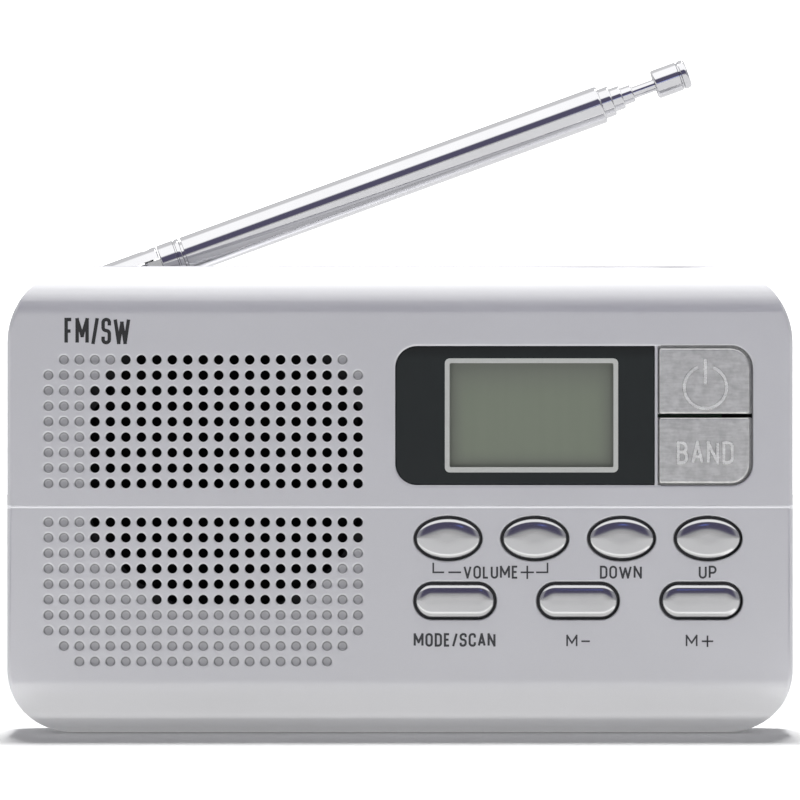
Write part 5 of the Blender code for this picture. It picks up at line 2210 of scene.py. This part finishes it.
@dataclass
class Stage:
    """The pale floor, the sun and soft lights, and the camera."""

    floor_half: float = 3.0
    floor_colours: tuple[Colour, Colour] = ((246, 246, 246), (250, 250, 250))
    distance: float = 1.2
    frame_width: float = 132.3 * MM
    eye_z: float = 55.3 * MM
    sensor: float = 36.0
    clip: Point2 = (0.01, 20.0)
    # strength, and how wide it looks in radians
    sun: Point2 = (3.3, 0.2)
    sun_height: float = 66.0
    # a glow under the case, a card in front of it and a small blue window, in metres
    lamps: tuple[SoftLight, ...] = (
        SoftLight("under_glow", (0, 0.002, -8e-5), (0, 0.002, 1), (0.134, 0.028), (0.36, 0.36, 0.35), False),
        SoftLight("front", (0, -0.0385, -8e-5), (0, -0.0385, 1), (0.17, 0.055), (0.84, 0.84, 0.81), False),
        SoftLight("window", (0.051, -0.32, 0.128), (0.051, 0, 0.04), (0.022, 0.03), (0.12, 0.2, 0.75)),
    )

    def floor(self) -> None:
        """Lays a pale floor under the receiver."""
        half = self.floor_half
        corners = [(-half, -half), (half, -half), (half, half), (-half, half)]
        floor = prism("floor", "Z", corners, -10 * MM, -0.15 * MM)
        graph = Graph("pale_floor")
        grain = graph.noise(30.0, 3.0)
        colour = graph.mix(grain, *(srgb(colour) for colour in self.floor_colours))
        rough = 0.75 + grain * 0.05
        floor.data.materials.append(graph.finish(Base_Color=colour, Roughness=rough, Specular_IOR_Level=0.0))

    def lights(self) -> None:
        """Adds a broad sun from above and behind, and the soft lights."""
        data = bpy.data.lights.new("sun", "SUN")
        data.energy, data.angle = self.sun
        new_object("sun", data).rotation_euler = (-math.radians(90.0 - self.sun_height), 0.0, 0.0)
        for lamp in self.lamps:
            lamp.build()

    def camera(self) -> None:
        """Places the level camera in front of the receiver."""
        data = bpy.data.cameras.new("camera")
        data.sensor_width = self.sensor
        data.lens = self.sensor * (self.distance + FRONT_Y) / self.frame_width
        data.clip_start, data.clip_end = self.clip
        camera = new_object("camera", data)
        camera.location = (0.0, -self.distance, self.eye_z)
        camera.rotation_euler = (math.pi / 2, 0.0, 0.0)
        bpy.context.scene.camera = camera

    def build(self) -> None:
        """Makes the whole stage."""
        self.floor()
        self.lights()
        self.camera()
        bpy.context.scene.view_settings.view_transform = "Standard"


# --- main


def main() -> None:
    """Builds the receiver's pieces in order, then the stage."""
    logging.basicConfig(level=logging.INFO, format="%(name)s: %(message)s")
    repeater = Repeater("repeat_on_points")
    paint = SilverPaint().build()
    plating = Chrome().build()
    steel = PlainMetal("steel", (176, 176, 173), 0.28).build()
    casting = CastMetal().build()
    raised = CastMetal("raised_metal", (214, 214, 213), 0.24).build()
    black = Moulding("black_moulding", (27, 27, 29)).build()
    body = CaseBody()
    CaseFront(body, Grille(), repeater, paint).build()
    CaseBack(body, paint).build()
    BatteryDoor(repeater, paint).build()
    border = Ink("border_silver", (190, 192, 188), 0.4, 0.4).build()
    lcd = LcdGlass(Display.sight_low, Display.sight_high).build()
    Display(BlackPanel().build(), border, lcd).build()
    stem = KeyStem()
    key_plating = Chrome("key_plating", (182, 182, 183), roughness=0.09, gap_shade_from=-13.8 * MM).build()
    RoundKeys(key_plating, stem).build()
    PlateKeys(casting, raised, stem).build()
    Print(Ink("print_grey", (52, 52, 56)).build(), Ink("mark_black", (24, 24, 26)).build()).build()
    Aerial(plating, steel).build()
    CaseScrews(repeater, steel).build()
    Sockets(black, steel).build()
    wraps = [CellWrap(38.0 * MM, 1.0, "wrap_lower").build(), CellWrap(11.0 * MM, -1.0, "wrap_upper").build()]
    Cells(wraps, steel).build()
    Internals(
        {
            "switch": black,
            "holder": Moulding("holder_white", (214, 214, 208), 0.45).build(),
            "board": Moulding("board_green", (30, 84, 54), 0.38, 0.01).build(),
            "chip": black,
            "crystal": steel,
            "contact": PlainMetal("contact_nickel", (190, 188, 180), 0.22).build(),
            "cone": Moulding("cone_paper", (30, 29, 29), 0.85, 0.06).build(),
            "magnet": Moulding("magnet_ferrite", (56, 54, 56), 0.6, 0.03).build(),
            "basket": Moulding("basket_black", (26, 26, 28), 0.5).build(),
            "rod": Moulding("rod_ferrite", (58, 56, 58), 0.55, 0.03).build(),
            "coil": PlainMetal("coil_copper", (184, 115, 72), 0.3).build(),
        }
    ).build()
    Sky().build()
    Stage().build()


if __name__ == "__main__":
    main()
